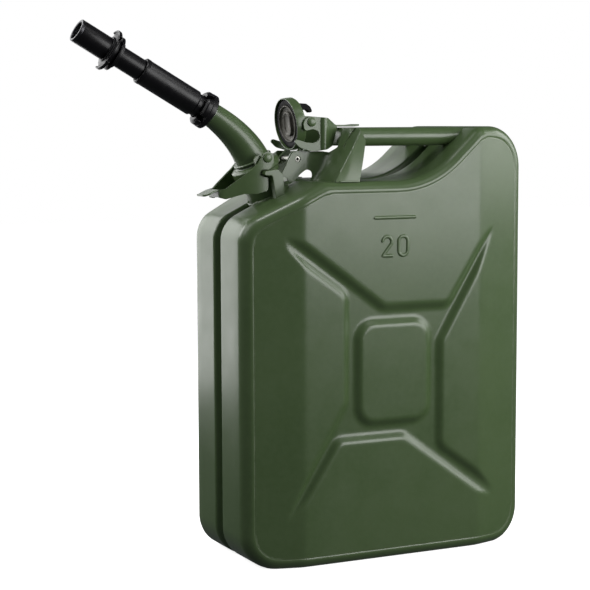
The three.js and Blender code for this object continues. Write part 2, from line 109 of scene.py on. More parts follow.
# ---- Outline helpers ---------------------------------------------------------------------------
def filleted(corners, chord=2.0, closed=True):
    """Corners (x, z, radius) as a list of points, with each fillet as a fine arc."""
    points = []
    count = len(corners)
    for i, (x, z, *rest) in enumerate(corners):
        corner = Vector((x, z))
        radius = rest[0] if rest else 0
        if not radius or (not closed and i in (0, count - 1)):
            points.append(corner)
            continue
        back = (Vector(corners[i - 1][:2]) - corner).normalized()
        ahead = (Vector(corners[(i + 1) % count][:2]) - corner).normalized()
        half = back.angle(ahead) / 2
        centre = corner + (back + ahead).normalized() * (radius / math.sin(half))
        first = corner + back * (radius / math.tan(half)) - centre
        turn = (math.pi - 2 * half) * math.copysign(1, ahead.cross(back))
        steps = max(3, math.ceil(radius * abs(turn) / chord))
        for k in range(steps + 1):
            angle = turn * k / steps
            points.append(centre + Matrix.Rotation(angle, 2) @ first)
    return points


def subdivided(points, spacing, closed=True):
    """The outline with its long stretches cut into equal steps."""
    result = []
    pairs = zip(points, points[1:] + points[:1]) if closed else zip(points, points[1:])
    for a, b in pairs:
        steps = max(1, math.ceil((b - a).length / spacing))
        result.extend(a.lerp(b, k / steps) for k in range(steps))
    if not closed:
        result.append(points[-1])
    return result


def outward_normals(points):
    """Unit normals of a counter-clockwise outline, pointing out."""
    p = np.array(points)
    along = np.roll(p, -1, 0) - p
    along /= np.linalg.norm(along, axis=1)[:, None]
    mean = along + np.roll(along, 1, 0)
    mean /= np.linalg.norm(mean, axis=1)[:, None]
    stretch = np.einsum("ij,ij->i", mean, along)
    return np.stack([mean[:, 1], -mean[:, 0]], 1) / stretch[:, None]


def distance_to(points, polygon):
    """Signed distance from points to a closed polygon, negative inside."""
    a = np.array(polygon)
    b = np.roll(a, -1, 0)
    nearest = np.full(len(points), 1e9)
    inside = np.zeros(len(points), bool)
    for (ax, az), (bx, bz) in zip(a, b):
        ex, ez = bx - ax, bz - az
        px, pz = points[:, 0] - ax, points[:, 1] - az
        share = np.clip((px * ex + pz * ez) / (ex * ex + ez * ez), 0, 1)
        nearest = np.minimum(nearest, np.hypot(px - share * ex, pz - share * ez))
        crosses = (az > points[:, 1]) != (bz > points[:, 1])
        if bz != az:
            inside ^= crosses & (points[:, 0] < ax + (points[:, 1] - az) * ex / ez)
    return np.where(inside, -nearest, nearest)


def smooth_step(value):
    t = np.clip(value, 0, 1)
    return t * t * (3 - 2 * t)


# ---- Mesh helpers ------------------------------------------------------------------------------
def make(name, points, faces, body, slot, replaces=(), sharp=40, finish=None):
    """A piece from points in can millimetres, which rides on a body and stands for CAD nodes."""
    mesh = bpy.data.meshes.new(name)
    place = [((p[0] + CAN_X) * MM, p[1] * MM, p[2] * MM) for p in points]
    mesh.from_pydata(place, [], faces)
    mesh.validate()
    mesh.update()
    piece = bpy.data.objects.new(name, mesh)
    bpy.context.scene.collection.objects.link(piece)
    mesh.shade_smooth()
    mesh.set_sharp_from_angle(angle=math.radians(sharp))
    mesh.materials.append(MATERIALS[finish or slot])
    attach(piece, body)
    if replaces:
        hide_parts(*replaces)
    return piece


def bevel(piece, width, segments=2, angle=35):
    """Rounds a piece's sharp edges, with the flats kept flat in the shading."""
    mod = piece.modifiers.new("edges", "BEVEL")
    mod.width = width * MM
    mod.segments = segments
    mod.limit_method = "ANGLE"
    mod.angle_limit = math.radians(angle)
    mod.harden_normals = True
    return piece


def mirrored(points, faces):
    return [(x, -y, z) for x, y, z in points], [tuple(reversed(f)) for f in faces]


def tube_faces(rings, sides, closed_rings=False):
    faces = []
    last = rings if closed_rings else rings - 1
    for r in range(last):
        nxt = (r + 1) % rings
        for i in range(sides):
            j = (i + 1) % sides
            faces.append((r * sides + i, r * sides + j, nxt * sides + j, nxt * sides + i))
    return faces


def turned(profile, axes, sides=64):
    """Points and faces of a turned body: profile (radius, height), closed on itself or on the axis."""
    points, faces = [], []
    on_axis = profile[0][0] == 0 and profile[-1][0] == 0
    inner = profile[1:-1] if on_axis else profile
    for radius, height in inner:
        for i in range(sides):
            angle = 2 * math.pi * i / sides
            local = Vector((radius * math.cos(angle), radius * math.sin(angle), height))
            points.append(axes @ local)
    faces = tube_faces(len(inner), sides, closed_rings=not on_axis)
    if on_axis:
        for end, row in ((profile[0], 0), (profile[-1], len(inner) - 1)):
            pole = len(points)
            points.append(axes @ Vector((0, 0, end[1])))
            for i in range(sides):
                a, b = row * sides + i, row * sides + (i + 1) % sides
                faces.append((pole, b, a) if row == 0 else (pole, a, b))
    if signed_area(profile) > 0:
        faces = [tuple(reversed(f)) for f in faces]
    return points, faces


def signed_area(profile):
    pairs = zip(profile, profile[1:] + profile[:1])
    return sum(a[0] * b[1] - b[0] * a[1] for a, b in pairs) / 2


def rounded_profile(corners, chord=0.5):
    """A turned profile with filleted corners (radius, height, fillet)."""
    return [(p.x, p.y) for p in filleted(corners, chord)]


def joined(*parts):
    """Several (points, faces) as one."""
    points, faces = [], []
    for some_points, some_faces in parts:
        base = len(points)
        points.extend(some_points)
        faces.extend(tuple(base + i for i in face) for face in some_faces)
    return points, faces


def bar(a, b, radius, sides=32, dome=0.0):
    """A round bar from a to b, its end at b domed."""
    axes = axis_frame_any(a, b - a)
    length = (b - a).length
    profile = [(0, 0), (radius, 0)]
    if dome:
        steps = 6
        for k in range(steps):
            angle = math.pi / 2 * k / steps
            profile.append((radius * math.cos(angle), length + dome * math.sin(angle)))
        profile.append((0, length + dome))
    else:
        profile += [(radius, length), (0, length)]
    return turned(profile, axes, sides)


def axis_frame_any(point, direction):
    return Matrix.Translation(point) @ direction.to_track_quat("Z", "Y").to_matrix().to_4x4()


def swept(path, section, closed=False, scale=None):
    """A section (across, up) swept along a path of (point, across, up)."""
    points = []
    for k, (point, across, up) in enumerate(path):
        size = scale[k] if scale else 1
        points.extend(point + across * (u * size) + up * (v * size) for u, v in section)
    sides = len(section)
    faces = tube_faces(len(path), sides, closed)
    if not closed:
        faces.append(tuple(reversed(range(sides))))
        faces.append(tuple(range(len(points) - sides, len(points))))
    return points, faces


def oval_section(across, up, sides):
    """A closed oval to sweep, from half its width, half its height and its number of sides."""
    angles = np.linspace(0, 2 * math.pi, sides, endpoint=False)
    return [(across * math.cos(a), up * math.sin(a)) for a in angles]


def blank_mesh(outline, holes, spacing, creases=()):
    """Triangles over a flat blank that can be bent: inner points at a spacing, and edges along creases."""
    loops = [subdivided(outline, spacing)]
    for x, z, radius in holes:
        count = 24
        angles = (2 * math.pi * k / count for k in range(count))
        loops.append([Vector((x + radius * math.cos(a), z + radius * math.sin(a))) for a in angles])
    verts = [p for loop in loops for p in loop]
    edges, start = [], 0
    for loop in loops:
        count = len(loop)
        edges.extend((start + i, start + (i + 1) % count) for i in range(count))
        start += count
    for crease in creases:
        edges.extend((start + i, start + i + 1) for i in range(len(crease) - 1))
        verts.extend(crease)
        start += len(crease)
    flat = np.array(loops[0])
    xs = np.arange(flat[:, 0].min(), flat[:, 0].max(), spacing)
    zs = np.arange(flat[:, 1].min(), flat[:, 1].max(), spacing)
    grid = np.stack(np.meshgrid(xs, zs), -1).reshape(-1, 2)
    clear = distance_to(grid, loops[0]) < -0.6 * spacing
    for x, z, radius in holes:
        clear &= np.hypot(grid[:, 0] - x, grid[:, 1] - z) > radius + 0.6 * spacing
    verts.extend(Vector(p) for p in grid[clear])
    made = delaunay_2d_cdt(verts, edges, [], 1, 1e-5)
    flat_points, triangles = made[0], made[2]
    middles = np.array([sum((flat_points[i] for i in t), Vector((0, 0))) / len(t) for t in triangles])
    keep = distance_to(middles, loops[0]) < 0
    for x, z, radius in holes:
        keep &= np.hypot(middles[:, 0] - x, middles[:, 1] - z) > radius * 0.98
    return flat_points, [tuple(t) for t, k in zip(triangles, keep) if k]


def sheet(outline, holes, thickness, bend, spacing=2.5, creases=()):
    """A blank of sheet metal bent to shape: bend gives (point, normal) for a place on the blank."""
    flat, triangles = blank_mesh(outline, holes, spacing, creases)
    count = len(flat)
    bent = [bend(p.x, p.y) for p in flat]
    points = [p + n * (thickness / 2) for p, n in bent] + [p - n * (thickness / 2) for p, n in bent]
    faces = list(triangles) + [tuple(count + i for i in reversed(t)) for t in triangles]
    seen = {}
    for t in triangles:
        for a, b in zip(t, t[1:] + t[:1]):
            seen[(a, b)] = True
    for a, b in seen:
        if (b, a) not in seen:
            faces.append((b, a, a + count, b + count))
    return points, faces


def flat_at(y):
    """Bend for a flat plate in the XZ plane at a value of y."""
    return lambda x, z: (Vector((x, y, z)), Vector((0, -1, 0)))


def level_at(z, side):
    """Bend for a flat plate in the XY plane at a height, on one side of the centre plane."""
    return lambda x, y: (Vector((x, side * y, z)), Vector((0, 0, 1)))


# ---- Materials ---------------------------------------------------------------------------------
class Nodes:
    """Builds one material's node tree."""

    def __init__(self, name):
        self.material = bpy.data.materials.new(name)
        self.material.use_nodes = True
        self.tree = self.material.node_tree
        self.shader = self.tree.nodes["Principled BSDF"]
        self.coords = self.tree.nodes.new("ShaderNodeTexCoord").outputs["Object"]

    def add(self, kind, inputs=None, **settings):
        node = self.tree.nodes.new(kind)
        for key, value in settings.items():
            setattr(node, key, value)
        for key, value in (inputs or {}).items():
            if isinstance(value, bpy.types.NodeSocket):
                self.tree.links.new(value, node.inputs[key])
            else:
                node.inputs[key].default_value = value
        return node

    def noise(self, scale, detail=2.0, roughness=0.5):
        inputs = {"Vector": self.coords, "Scale": scale, "Detail": detail, "Roughness": roughness}
        return self.add("ShaderNodeTexNoise", inputs).outputs["Fac"]

    def ramp(self, value, low, high):
        """Value from low to high, as 0 to 1."""
        inputs = {"Value": value, "From Min": low, "From Max": high}
        return self.add("ShaderNodeMapRange", inputs).outputs["Result"]

    def mix(self, share, a, b):
        node = self.add("ShaderNodeMix", data_type="RGBA")
        for socket, value in ((0, share), (6, a), (7, b)):
            if isinstance(value, bpy.types.NodeSocket):
                self.tree.links.new(value, node.inputs[socket])
            else:
                node.inputs[socket].default_value = value
        return node.outputs[2]

    def maths(self, operation, a, b):
        node = self.add("ShaderNodeMath", operation=operation)
        for socket, value in ((0, a), (1, b)):
            if isinstance(value, bpy.types.NodeSocket):
                self.tree.links.new(value, node.inputs[socket])
            else:
                node.inputs[socket].default_value = value
        return node.outputs[0]

    def worn_and_highlit_edges(self, radius):
        """1 along broken stretches of the edges, where a rounded normal leaves the true one, else 0; it marks
        edge wear and also a painted highlight along the edges.
        """
        rounded = self.add("ShaderNodeBevel", {"Radius": radius * MM}, samples=4).outputs["Normal"]
        true = self.add("ShaderNodeNewGeometry").outputs["Normal"]
        product = self.add("ShaderNodeVectorMath", {0: rounded, 1: true}, operation="DOT_PRODUCT")
        likeness = product.outputs["Value"]
        broken = self.ramp(self.noise(70, 5, 0.6), 0.36, 0.60)
        return self.maths("MULTIPLY", self.ramp(likeness, 0.985, 0.90), broken)

    def colour(self, value):
        self.tree.links.new(value, self.shader.inputs["Base Color"])

    def roughness(self, value):
        self.tree.links.new(value, self.shader.inputs["Roughness"])

    def bump(self, height, strength, distance):
        inputs = {"Height": height, "Strength": strength, "Distance": distance * MM}
        node = self.add("ShaderNodeBump", inputs)
        self.tree.links.new(node.outputs["Normal"], self.shader.inputs["Normal"])


def paint_material():
    """Semi-gloss olive enamel: a light orange peel, a little tone drift, dust specks, and rubbed edges that
    are lightened partly as wear and partly as a painted highlight.
    """
    m = Nodes("paint")
    drift = m.ramp(m.noise(9, 3), 0.35, 0.65)
    base = m.mix(drift, (0.067, 0.113, 0.040, 1), (0.081, 0.129, 0.050, 1))
    mottle = m.ramp(m.noise(160, 3), 0.3, 0.7)
    base = m.mix(m.maths("MULTIPLY", mottle, 0.3), base, (0.093, 0.145, 0.060, 1))
    specks = m.ramp(m.noise(900, 2, 0.6), 0.70, 0.76)
    base = m.mix(m.maths("MULTIPLY", specks, 0.35), base, (0.17, 0.21, 0.13, 1))
    # Lighter paint along the edges: partly rubbed wear, partly a painted highlight that stands in for bright
    # edge lines.
    rubbed_and_highlit = m.worn_and_highlit_edges(0.9)
    m.colour(m.mix(m.maths("MULTIPLY", rubbed_and_highlit, 0.55), base, (0.24, 0.28, 0.19, 1)))
    m.roughness(m.add(
        "ShaderNodeMapRange",
        {"Value": m.noise(40, 4), "From Min": 0.3, "From Max": 0.7, "To Min": 0.29, "To Max": 0.38},
    ).outputs["Result"])
    peel = m.maths("ADD", m.noise(420, 1), m.maths("MULTIPLY", m.noise(1300, 1), 0.35))
    m.bump(peel, 0.22, 0.12)
    m.shader.inputs["Specular IOR Level"].default_value = 0.5
    m.shader.inputs["Coat Weight"].default_value = 0.3
    m.shader.inputs["Coat Roughness"].default_value = 0.2
    return m.material


def plastic_material():
    """Black moulded plastic with faint flow marks, handling scuffs, and edges lightened partly by use and
    partly as a painted highlight.
    """
    m = Nodes("nozzle_plastic")
    scuffs = m.ramp(m.noise(260, 5, 0.65), 0.55, 0.8)
    base = m.mix(scuffs, (0.0035, 0.0030, 0.0040, 1), (0.008, 0.0075, 0.009, 1))
    # Lighter plastic along the edges: partly wear, partly a painted highlight.
    m.colour(m.mix(m.maths("MULTIPLY", m.worn_and_highlit_edges(0.5), 0.5), base, (0.03, 0.03, 0.033, 1)))
    m.roughness(m.add(
        "ShaderNodeMapRange",
        {"Value": m.noise(120, 4), "From Min": 0.3, "From Max": 0.7, "To Min": 0.30, "To Max": 0.40},
    ).outputs["Result"])
    m.bump(m.noise(900, 3), 0.12, 0.05)
    m.shader.inputs["Specular IOR Level"].default_value = 0.35
    return m.material


def rubber_material():
    """Matt black fuel-resistant rubber with a slight bloom."""
    m = Nodes("rubber")
    bloom = m.ramp(m.noise(300, 4), 0.4, 0.75)
    m.colour(m.mix(bloom, (0.006, 0.006, 0.007, 1), (0.016, 0.015, 0.015, 1)))
    m.roughness(m.add(
        "ShaderNodeMapRange",
        {"Value": m.noise(90, 3), "From Min": 0.3, "From Max": 0.7, "To Min": 0.5, "To Max": 0.68},
    ).outputs["Result"])
    m.bump(m.noise(1100, 3), 0.3, 0.08)
    m.shader.inputs["Specular IOR Level"].default_value = 0.1
    return m.material


def metal_material(name, dark, light, low, high):
    """Bare or plated metal with fine working marks and a cloudy oxide."""
    m = Nodes(name)
    cloud = m.ramp(m.noise(200, 4), 0.3, 0.7)
    m.colour(m.mix(cloud, dark, light))
    m.roughness(m.add(
        "ShaderNodeMapRange",
        {"Value": m.noise(350, 4), "From Min": 0.3, "From Max": 0.7, "To Min": low, "To Max": high},
    ).outputs["Result"])
    m.bump(m.noise(1500, 2), 0.15, 0.05)
    m.shader.inputs["Metallic"].default_value = 1.0
    return m.material


def lining_material():
    """The grey-green lacquer of the cap's underside."""
    m = Nodes("cap_lining")
    cloud = m.ramp(m.noise(220, 4), 0.3, 0.7)
    m.colour(m.mix(cloud, (0.072, 0.068, 0.056, 1), (0.120, 0.115, 0.098, 1)))
    m.roughness(m.ramp(m.noise(260, 3), -0.6, 1.4))
    m.bump(m.noise(700, 2), 0.2, 0.08)
    m.shader.inputs["Metallic"].default_value = 0.35
    return m.material


MATERIALS = {
    "paint": paint_material(),
    "nozzle_plastic": plastic_material(),
    "rubber": rubber_material(),
    "steel": metal_material("steel", (0.30, 0.30, 0.27, 1), (0.46, 0.46, 0.42, 1), 0.3, 0.45),
    "tip_metal": metal_material("tip_metal", (0.42, 0.43, 0.44, 1), (0.62, 0.63, 0.64, 1), 0.28, 0.42),
    "blacked_metal": metal_material(
        "blacked_metal", (0.035, 0.035, 0.038, 1), (0.07, 0.07, 0.075, 1), 0.25, 0.38
    ),
    "cap_lining": lining_material(),
}

# ---- Can halves --------------------------------------------------------------------------------
slope_rise = math.tan(math.radians(NECK_TILT))
CAN_OUTLINE = subdivided(
    filleted(
        [
            (-LENGTH / 2, 0, 38),
            (LENGTH / 2, 0, 38),
            (LENGTH / 2, CREST_Z, 45),
            (108, CREST_Z, 18),
            (44.4, TOP_Z, 100),
            (SLOPE_TOP_X, TOP_Z, 20),
            (-LENGTH / 2, TOP_Z - (LENGTH / 2 + SLOPE_TOP_X) * slope_rise, 30),
        ],
        chord=2.2,
    ),
    4.0,
)


def face_half_width(x):
    """How far the broad face lies from the centre plane, before it is pressed."""
    past = np.abs(x) - FLAT_X
    return HALF_WIDTH - FACET_SLOPE * (past + np.sqrt(past**2 + CREASE**2)) / 2


def press_outline():
    upper = [
        (61, 236, 14),
        (135, 359.5),
        (132, 380),
        (66.5, 279.5, 10),
        (-12, 279.5, 12),
        (-135, 369),
        (-135, 343.5),
        (-61, 291, 12),
    ]
    lower = [(-x, 2 * PANEL_CENTRE_Z - z, *rest) for x, z, *rest in upper]
    return filleted(upper + lower)


def press_heights(points):
    """How deep the pressing is at points (x, z)."""
    panel = filleted([(-40.5, 154, 16), (40.5, 154, 16), (40.5, 258, 16), (-40.5, 258, 16)])
    channel = np.clip(-distance_to(points, press_outline()) / PRESS_SLOPE, 0, 1)
    island = np.clip(distance_to(points, panel) / PRESS_SLOPE, 0, 1)
    return PRESS_DEPTH * np.minimum(channel, island)


def blurred(field, sigma):
    reach = int(3 * sigma) + 1
    kernel = np.exp(-0.5 * (np.arange(-reach, reach + 1) / sigma) ** 2)
    kernel /= kernel.sum()
    for axis in (0, 1):
        padded = np.pad(field, [(reach, reach) if a == axis else (0, 0) for a in (0, 1)], "edge")
        field = np.apply_along_axis(np.convolve, axis, padded, kernel, "valid")
    return field


def face_grid():
    """The broad face's half width on a grid, pressed and with its bends softened."""
    xs = np.arange(-LENGTH / 2 - 4, LENGTH / 2 + 6, GRID)
    zs = np.arange(-4, CREST_Z + 6, GRID)
    x, z = np.meshgrid(xs, zs, indexing="ij")
    flat = face_half_width(x)
    points = np.stack([x.ravel(), z.ravel()], 1)
    pressed = HALF_WIDTH - press_heights(points).reshape(x.shape)
    return xs, zs, blurred(np.minimum(flat, pressed), 1.5 / GRID)


def can_half():
    """Points and faces of the near half's outer skin, and the rows of points round its open edge."""
    outline = np.array([tuple(p) for p in CAN_OUTLINE])
    normals = outward_normals(CAN_OUTLINE)
    face = face_half_width(outline[:, 0])
    section = groove_section()
    rings = []
    for depth, y in section:
        rings.append((outline - normals * depth, np.full(len(outline), y)))
    first_flat = section[-1][1]
    for share in (0.2, 0.45, 0.7, 1.0):
        y = first_flat + (face - FACE_ROUND - first_flat) * share
        rings.append((outline, y))
    for k in range(1, 9):
        angle = math.pi / 2 * k / 8
        depth = FACE_ROUND * (1 - math.cos(angle))
        place = outline - normals * depth
        y = face_half_width(place[:, 0]) - FACE_ROUND * (1 - math.sin(angle))
        rings.append((place, y))
    points = [(p[0], -y, p[1]) for place, ys in rings for p, y in zip(place, ys)]
    count = len(outline)
    faces = [tuple(reversed(f)) for f in tube_faces(len(rings), count)]
    return fill_face(points, faces, rings[-1][0], (len(rings) - 1) * count)


def groove_section():
    """The seam groove's profile: (depth, distance from the centre plane), floor to perimeter."""
    floor = [(GROOVE_DEPTH, SEAM_GAP), (GROOVE_DEPTH, 2.5)]
    corners = [(GROOVE_DEPTH, 2.5), (GROOVE_DEPTH, 6.2, 2.0), (0, 8.8, 3.0), (0, 13)]
    foot = filleted(corners, 0.7, closed=False)
    return floor + [(p.x, p.y) for p in foot[1:-1]] + [(0, 13)]


def fill_face(points, faces, rim, rim_start):
    """Fills the broad face inside its rim: a regular grid of quads, and triangles up to the rim."""
    xs, zs, height = face_grid()
    x, z = np.meshgrid(xs, zs, indexing="ij")
    grid = np.stack([x.ravel(), z.ravel()], 1)
    inside = (distance_to(grid, rim) < -1.3 * GRID).reshape(x.shape)
    cell = inside[:-1, :-1] & inside[1:, :-1] & inside[:-1, 1:] & inside[1:, 1:]
    used = np.zeros_like(inside)
    for di in (0, 1):
        for dj in (0, 1):
            used[di : di + cell.shape[0], dj : dj + cell.shape[1]] |= cell
    index = np.full(inside.shape, -1)
    index[used] = len(points) + np.arange(used.sum())
    points = points + [(a, -h, b) for a, b, h in zip(x[used], z[used], height[used])]
    edge_uses = {}
    for i, j in zip(*np.nonzero(cell)):
        quad = (index[i, j], index[i + 1, j], index[i + 1, j + 1], index[i, j + 1])
        faces.append(tuple(int(v) for v in quad))
        for a, b in zip(faces[-1], faces[-1][1:] + faces[-1][:1]):
            edge_uses[(a, b)] = True
    border = [(a, b) for a, b in edge_uses if (b, a) not in edge_uses]
    return points, faces + stitched(points, border, rim, rim_start)


def stitched(points, border, rim, rim_start):
    """Triangles between the grid's stepped border and the rim round it."""
    ids = sorted({v for edge in border for v in edge})
    place = {v: k for k, v in enumerate(ids)}
    flat = [Vector((points[v][0], points[v][2])) for v in ids]
    count = len(ids)
    rim_ids = [rim_start + k for k in range(len(rim))]
    flat += [Vector(p) for p in rim]
    edges = [(place[a], place[b]) for a, b in border]
    edges += [(count + k, count + (k + 1) % len(rim)) for k in range(len(rim))]
    made = delaunay_2d_cdt(flat, edges, [], 1, 1e-5)
    back = [ids[o[0]] if o[0] < count else rim_ids[o[0] - count] for o in made[3]]
    loop = border_loop(border, points)
    middles = np.array([sum((made[0][i] for i in t), Vector((0, 0))) / len(t) for t in made[2]])
    keep = (distance_to(middles, loop) > 0) & (distance_to(middles, rim) < 0)
    return [tuple(back[i] for i in t) for t, k in zip(made[2], keep) if k]


def border_loop(border, points):
    following = dict(border)
    start = border[0][0]
    loop, at = [], start
    while True:
        loop.append((points[at][0], points[at][2]))
        at = following[at]
        if at == start:
            return loop


def with_neck_hole(points, faces):
    """Opens the slope under the neck: drops the faces there and draws the rest back to a circle."""
    inverse = NECK.inverted()
    local = [inverse @ Vector(p) for p in points]
    near = [math.hypot(v.x, v.y) < NECK_HOLE and -12 < v.z < 20 for v in local]
    faces = [f for f in faces if not all(near[i] for i in f)]
    kept = {i for f in faces for i in f}
    for i in kept:
        if near[i]:
            v = local[i]
            flat = Vector((v.x, v.y, 0))
            flat = flat.normalized() * NECK_HOLE if flat.length > 1e-6 else Vector((NECK_HOLE, 0, 0))
            points[i] = tuple(NECK @ Vector((flat.x, flat.y, v.z)))
    order = {old: new for new, old in enumerate(sorted(kept))}
    return [points[i] for i in sorted(kept)], [tuple(order[i] for i in f) for f in faces]


def build_shells():
    points, faces = with_neck_hole(*can_half())
    for side, (p, f) in {"near": (points, faces), "far": mirrored(points, faces)}.items():
        piece = make("can_half_" + side, p, f, "can", "paint", ["shell_" + side], sharp=60)
        wall = piece.modifiers.new("sheet", "SOLIDIFY")
        wall.thickness = WALL * MM
        wall.offset = -1


def build_seam():
    """The welded seam at the bottom of the groove: a flange ridge with a rippled bead."""
    outline = subdivided(CAN_OUTLINE, 1.1)
    normals = outward_normals(outline)
    inverse = NECK.inverted()
    path, scales = [], []
    for k, (p, n) in enumerate(zip(outline, normals)):
        up = Vector((n[0], 0, n[1])).normalized()
        point = Vector((p.x, 0, p.y)) - up * (GROOVE_DEPTH - 0.3)
        path.append((point, Vector((0, 1, 0)), up))
        scales.append(1 + 0.10 * math.sin(k * 2.1) + 0.05 * math.sin(k * 0.37))
    start = next(k for k, (p, _, _) in enumerate(path) if (inverse @ p).z > -20 and abs((inverse @ p).x) < 23)
    path, scales = path[start:] + path[:start], scales[start:] + scales[:start]
    clear = [not ((inverse @ p).z > -20 and abs((inverse @ p).x) < 24) for p, _, _ in path]
    path = [p for p, c in zip(path, clear) if c]
    scales = [s for s, c in zip(scales, clear) if c]
    right_side = [(2.2, 0), (2.0, 1.1), (1.35, 2.0), (0.9, 2.9)]
    left_side = [(-across, up) for across, up in reversed(right_side)]
    section = left_side[-1:] + right_side + [(0, 3.3)] + left_side[:-1]
    points, faces = swept(path, section, scale=scales)
    make("seam_weld", points, faces, "can", "paint", ["seam_bead"], sharp=70)


def stroke(points, width, height, y, samples=10):
    """A raised stroke with round ends on the broad face, along points (x, z)."""
    path = [Vector(p) for p in points]
    sections = []
    for k, p in enumerate(path):
        ahead = path[min(k + 1, len(path) - 1)]
        behind = path[max(k - 1, 0)]
        along = (ahead - behind).normalized()
        sections.append((p, Vector((-along.y, along.x)), along))
    rings = []
    for end, sign in ((0, -1), (len(path) - 1, 1)):
        p, across, along = sections[end]
        caps = []
        for k in range(1, 6):
            angle = math.pi / 2 * k / 5
            caps.append((p + along * (sign * width / 2 * math.sin(angle)), across, math.cos(angle)))
        rings.append(caps)
    ordered = [c for c in reversed(rings[0])] + [(p, a, 1.0) for p, a, _ in sections] + rings[1]
    out = []
    for p, across, share in ordered:
        for k in range(samples + 1):
            t = -1 + 2 * k / samples
            place = p + across * (t * width / 2 * max(share, 0.02))
            rise = height * (1 - abs(t) ** 2.5) * min(1, share * 2.5) - 0.25
            out.append((place.x, y - rise, place.y))
    sides = samples + 1
    faces = []
    for r in range(len(ordered) - 1):
        for i in range(samples):
            a = r * sides + i
            faces.append((a, a + 1, a + 1 + sides, a + sides))
    faces.append(tuple(range(sides)))
    faces.append(tuple(reversed(range(len(out) - sides, len(out)))))
    left = [r * sides for r in range(len(ordered))]
    right = [r * sides + samples for r in range(len(ordered))]
    for r in range(len(ordered) - 1):
        faces.append((left[r], left[r + 1], right[r + 1], right[r]))
    return out, faces


def build_marks():
    """The fill-level bar and the plain capacity numerals raised on each broad face."""
    low, tall, wide, stroke_width = 332.6, 20.8, 11.2, 4.4
    stroke_height = 1.5
    glyphs = [[(-24, 373.8), (24, 373.8)]]
    x0, x1 = -15.5, 4.3
    bowl = [
        (x0 + wide / 2 - wide / 2 * math.cos(a), low + tall - wide / 2 + wide / 2 * math.sin(a))
        for a in np.linspace(0.25, math.pi + 0.55, 12)
    ]
    glyphs.append(bowl + [(x0, low), (x0 + wide, low)])
    ring = filleted(
        [(x1, low, 5.5), (x1 + wide, low, 5.5), (x1 + wide, low + tall, 5.5), (x1, low + tall, 5.5)], 1.6
    )
    glyphs.append([tuple(p) for p in ring] + [tuple(ring[0]), tuple(ring[1])])
    parts = []
    for glyph in glyphs:
        fine = subdivided([Vector(p) for p in glyph], 1.5, closed=False)
        parts.append(stroke(fine, stroke_width, stroke_height, -HALF_WIDTH))
    points, faces = joined(*parts)
    make("marks_near", points, faces, "can", "paint", sharp=50)
    turned_points = [(-x, -y, z) for x, y, z in points]
    make("marks_far", turned_points, faces, "can", "paint", sharp=50)


# ---- Handles and bracket -----------------------------------------------------------------------
BRACKET_FOOT_Z, BRACKET_TOP_Z = (corner.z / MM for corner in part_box("handle_bracket"))
BRACKET_SHEET = 2.0
CHEEK_BULGE = 1.6
WEB_END, WEB_Y = -107.0, 20.0


def horn_x(z):
    """Where the can's rear slope is at a height."""
    rising = [p for p in CAN_OUTLINE if 30 < p.x < 125 and p.y > TOP_Z + 1]
    rising.sort(key=lambda p: p.y)
    return float(np.interp(z, [p.y for p in rising], [p.x for p in rising]))


def bracket_share(z):
    return (z - BRACKET_FOOT_Z) / (BRACKET_TOP_Z - BRACKET_FOOT_Z)


def bracket_front(z):
    return -66 + 34.5 * bracket_share(z)


def bracket_corner(z):
    """The crisp corner between the saddle's front wall and its cheek, seen from above."""
    share = bracket_share(z)
    return Vector((-68.5 + 43 * share, 75 - 20.5 * share))


def bracket_plan(z):
    """The saddle's sheet seen from above at a height: web, concave bend, front wall, cheek."""
    front, corner = bracket_front(z), bracket_corner(z)
    bend = 12 + 17 * float(smooth_step((z - 412) / 31))
    return filleted(
        [
            (WEB_END, WEB_Y),
            (front, WEB_Y, bend),
            (front, corner.y - 12, 20),
            (*corner, 0.8),
            (-40 + 20 * bracket_share(z), corner.y),
        ],
        0.6,
        closed=False,
    )


def wall_x(y, z):
    """Where the saddle's front wall is, at a distance y from the centre plane and a height."""
    path = bracket_plan(z)
    return max(bracket_front(z), float(np.interp(abs(y), [p.y for p in path], [p.x for p in path])))


def run_lengths(path):
    return np.concatenate([[0], np.cumsum([(b - a).length for a, b in zip(path, path[1:])])])


def bracket_run(z, y=None, x=None):
    """How far along the sheet a place at a height is, from its y, or from its x on the web."""
    path = bracket_plan(z)
    lengths = run_lengths(path)
    if y is None:
        return x - WEB_END
    return float(np.interp(y, [p.y for p in path], lengths))


def corner_lines():
    """Lines on the blank along both sides of the crisp corner between the front wall and the cheek."""
    lines = []
    for offset in (-1.1, -0.4, 0.4, 1.1):
        line = []
        for z in np.linspace(BRACKET_FOOT_Z + 1, BRACKET_TOP_Z - 1, 24):
            corner, path = bracket_corner(z), bracket_plan(z)
            nearest = min(range(len(path)), key=lambda k: (path[k] - corner).length)
            line.append(Vector((run_lengths(path)[nearest] + offset, z)))
        lines.append(line)
    return lines


def bracket_bend(side):
    def bend(run, z):
        path = bracket_plan(z)
        lengths = run_lengths(path)
        xs, ys = [p.x for p in path], [p.y for p in path]
        runs = (run - 0.6, run, run + 0.6)
        place = [Vector((np.interp(r, lengths, xs), np.interp(r, lengths, ys))) for r in runs]
        along = (place[2] - place[0]).normalized()
        share = min(1, max(0, bracket_share(z)))
        on_cheek = float(smooth_step((run - lengths[-1] + 24) / 10))
        bulge = CHEEK_BULGE * math.sin(math.pi * share) * on_cheek
        normal = Vector((-along.y, along.x))
        outward = Vector((place[1].x, side * (place[1].y + bulge), z))
        return outward, Vector((normal.x, side * normal.y, 0))

    return bend


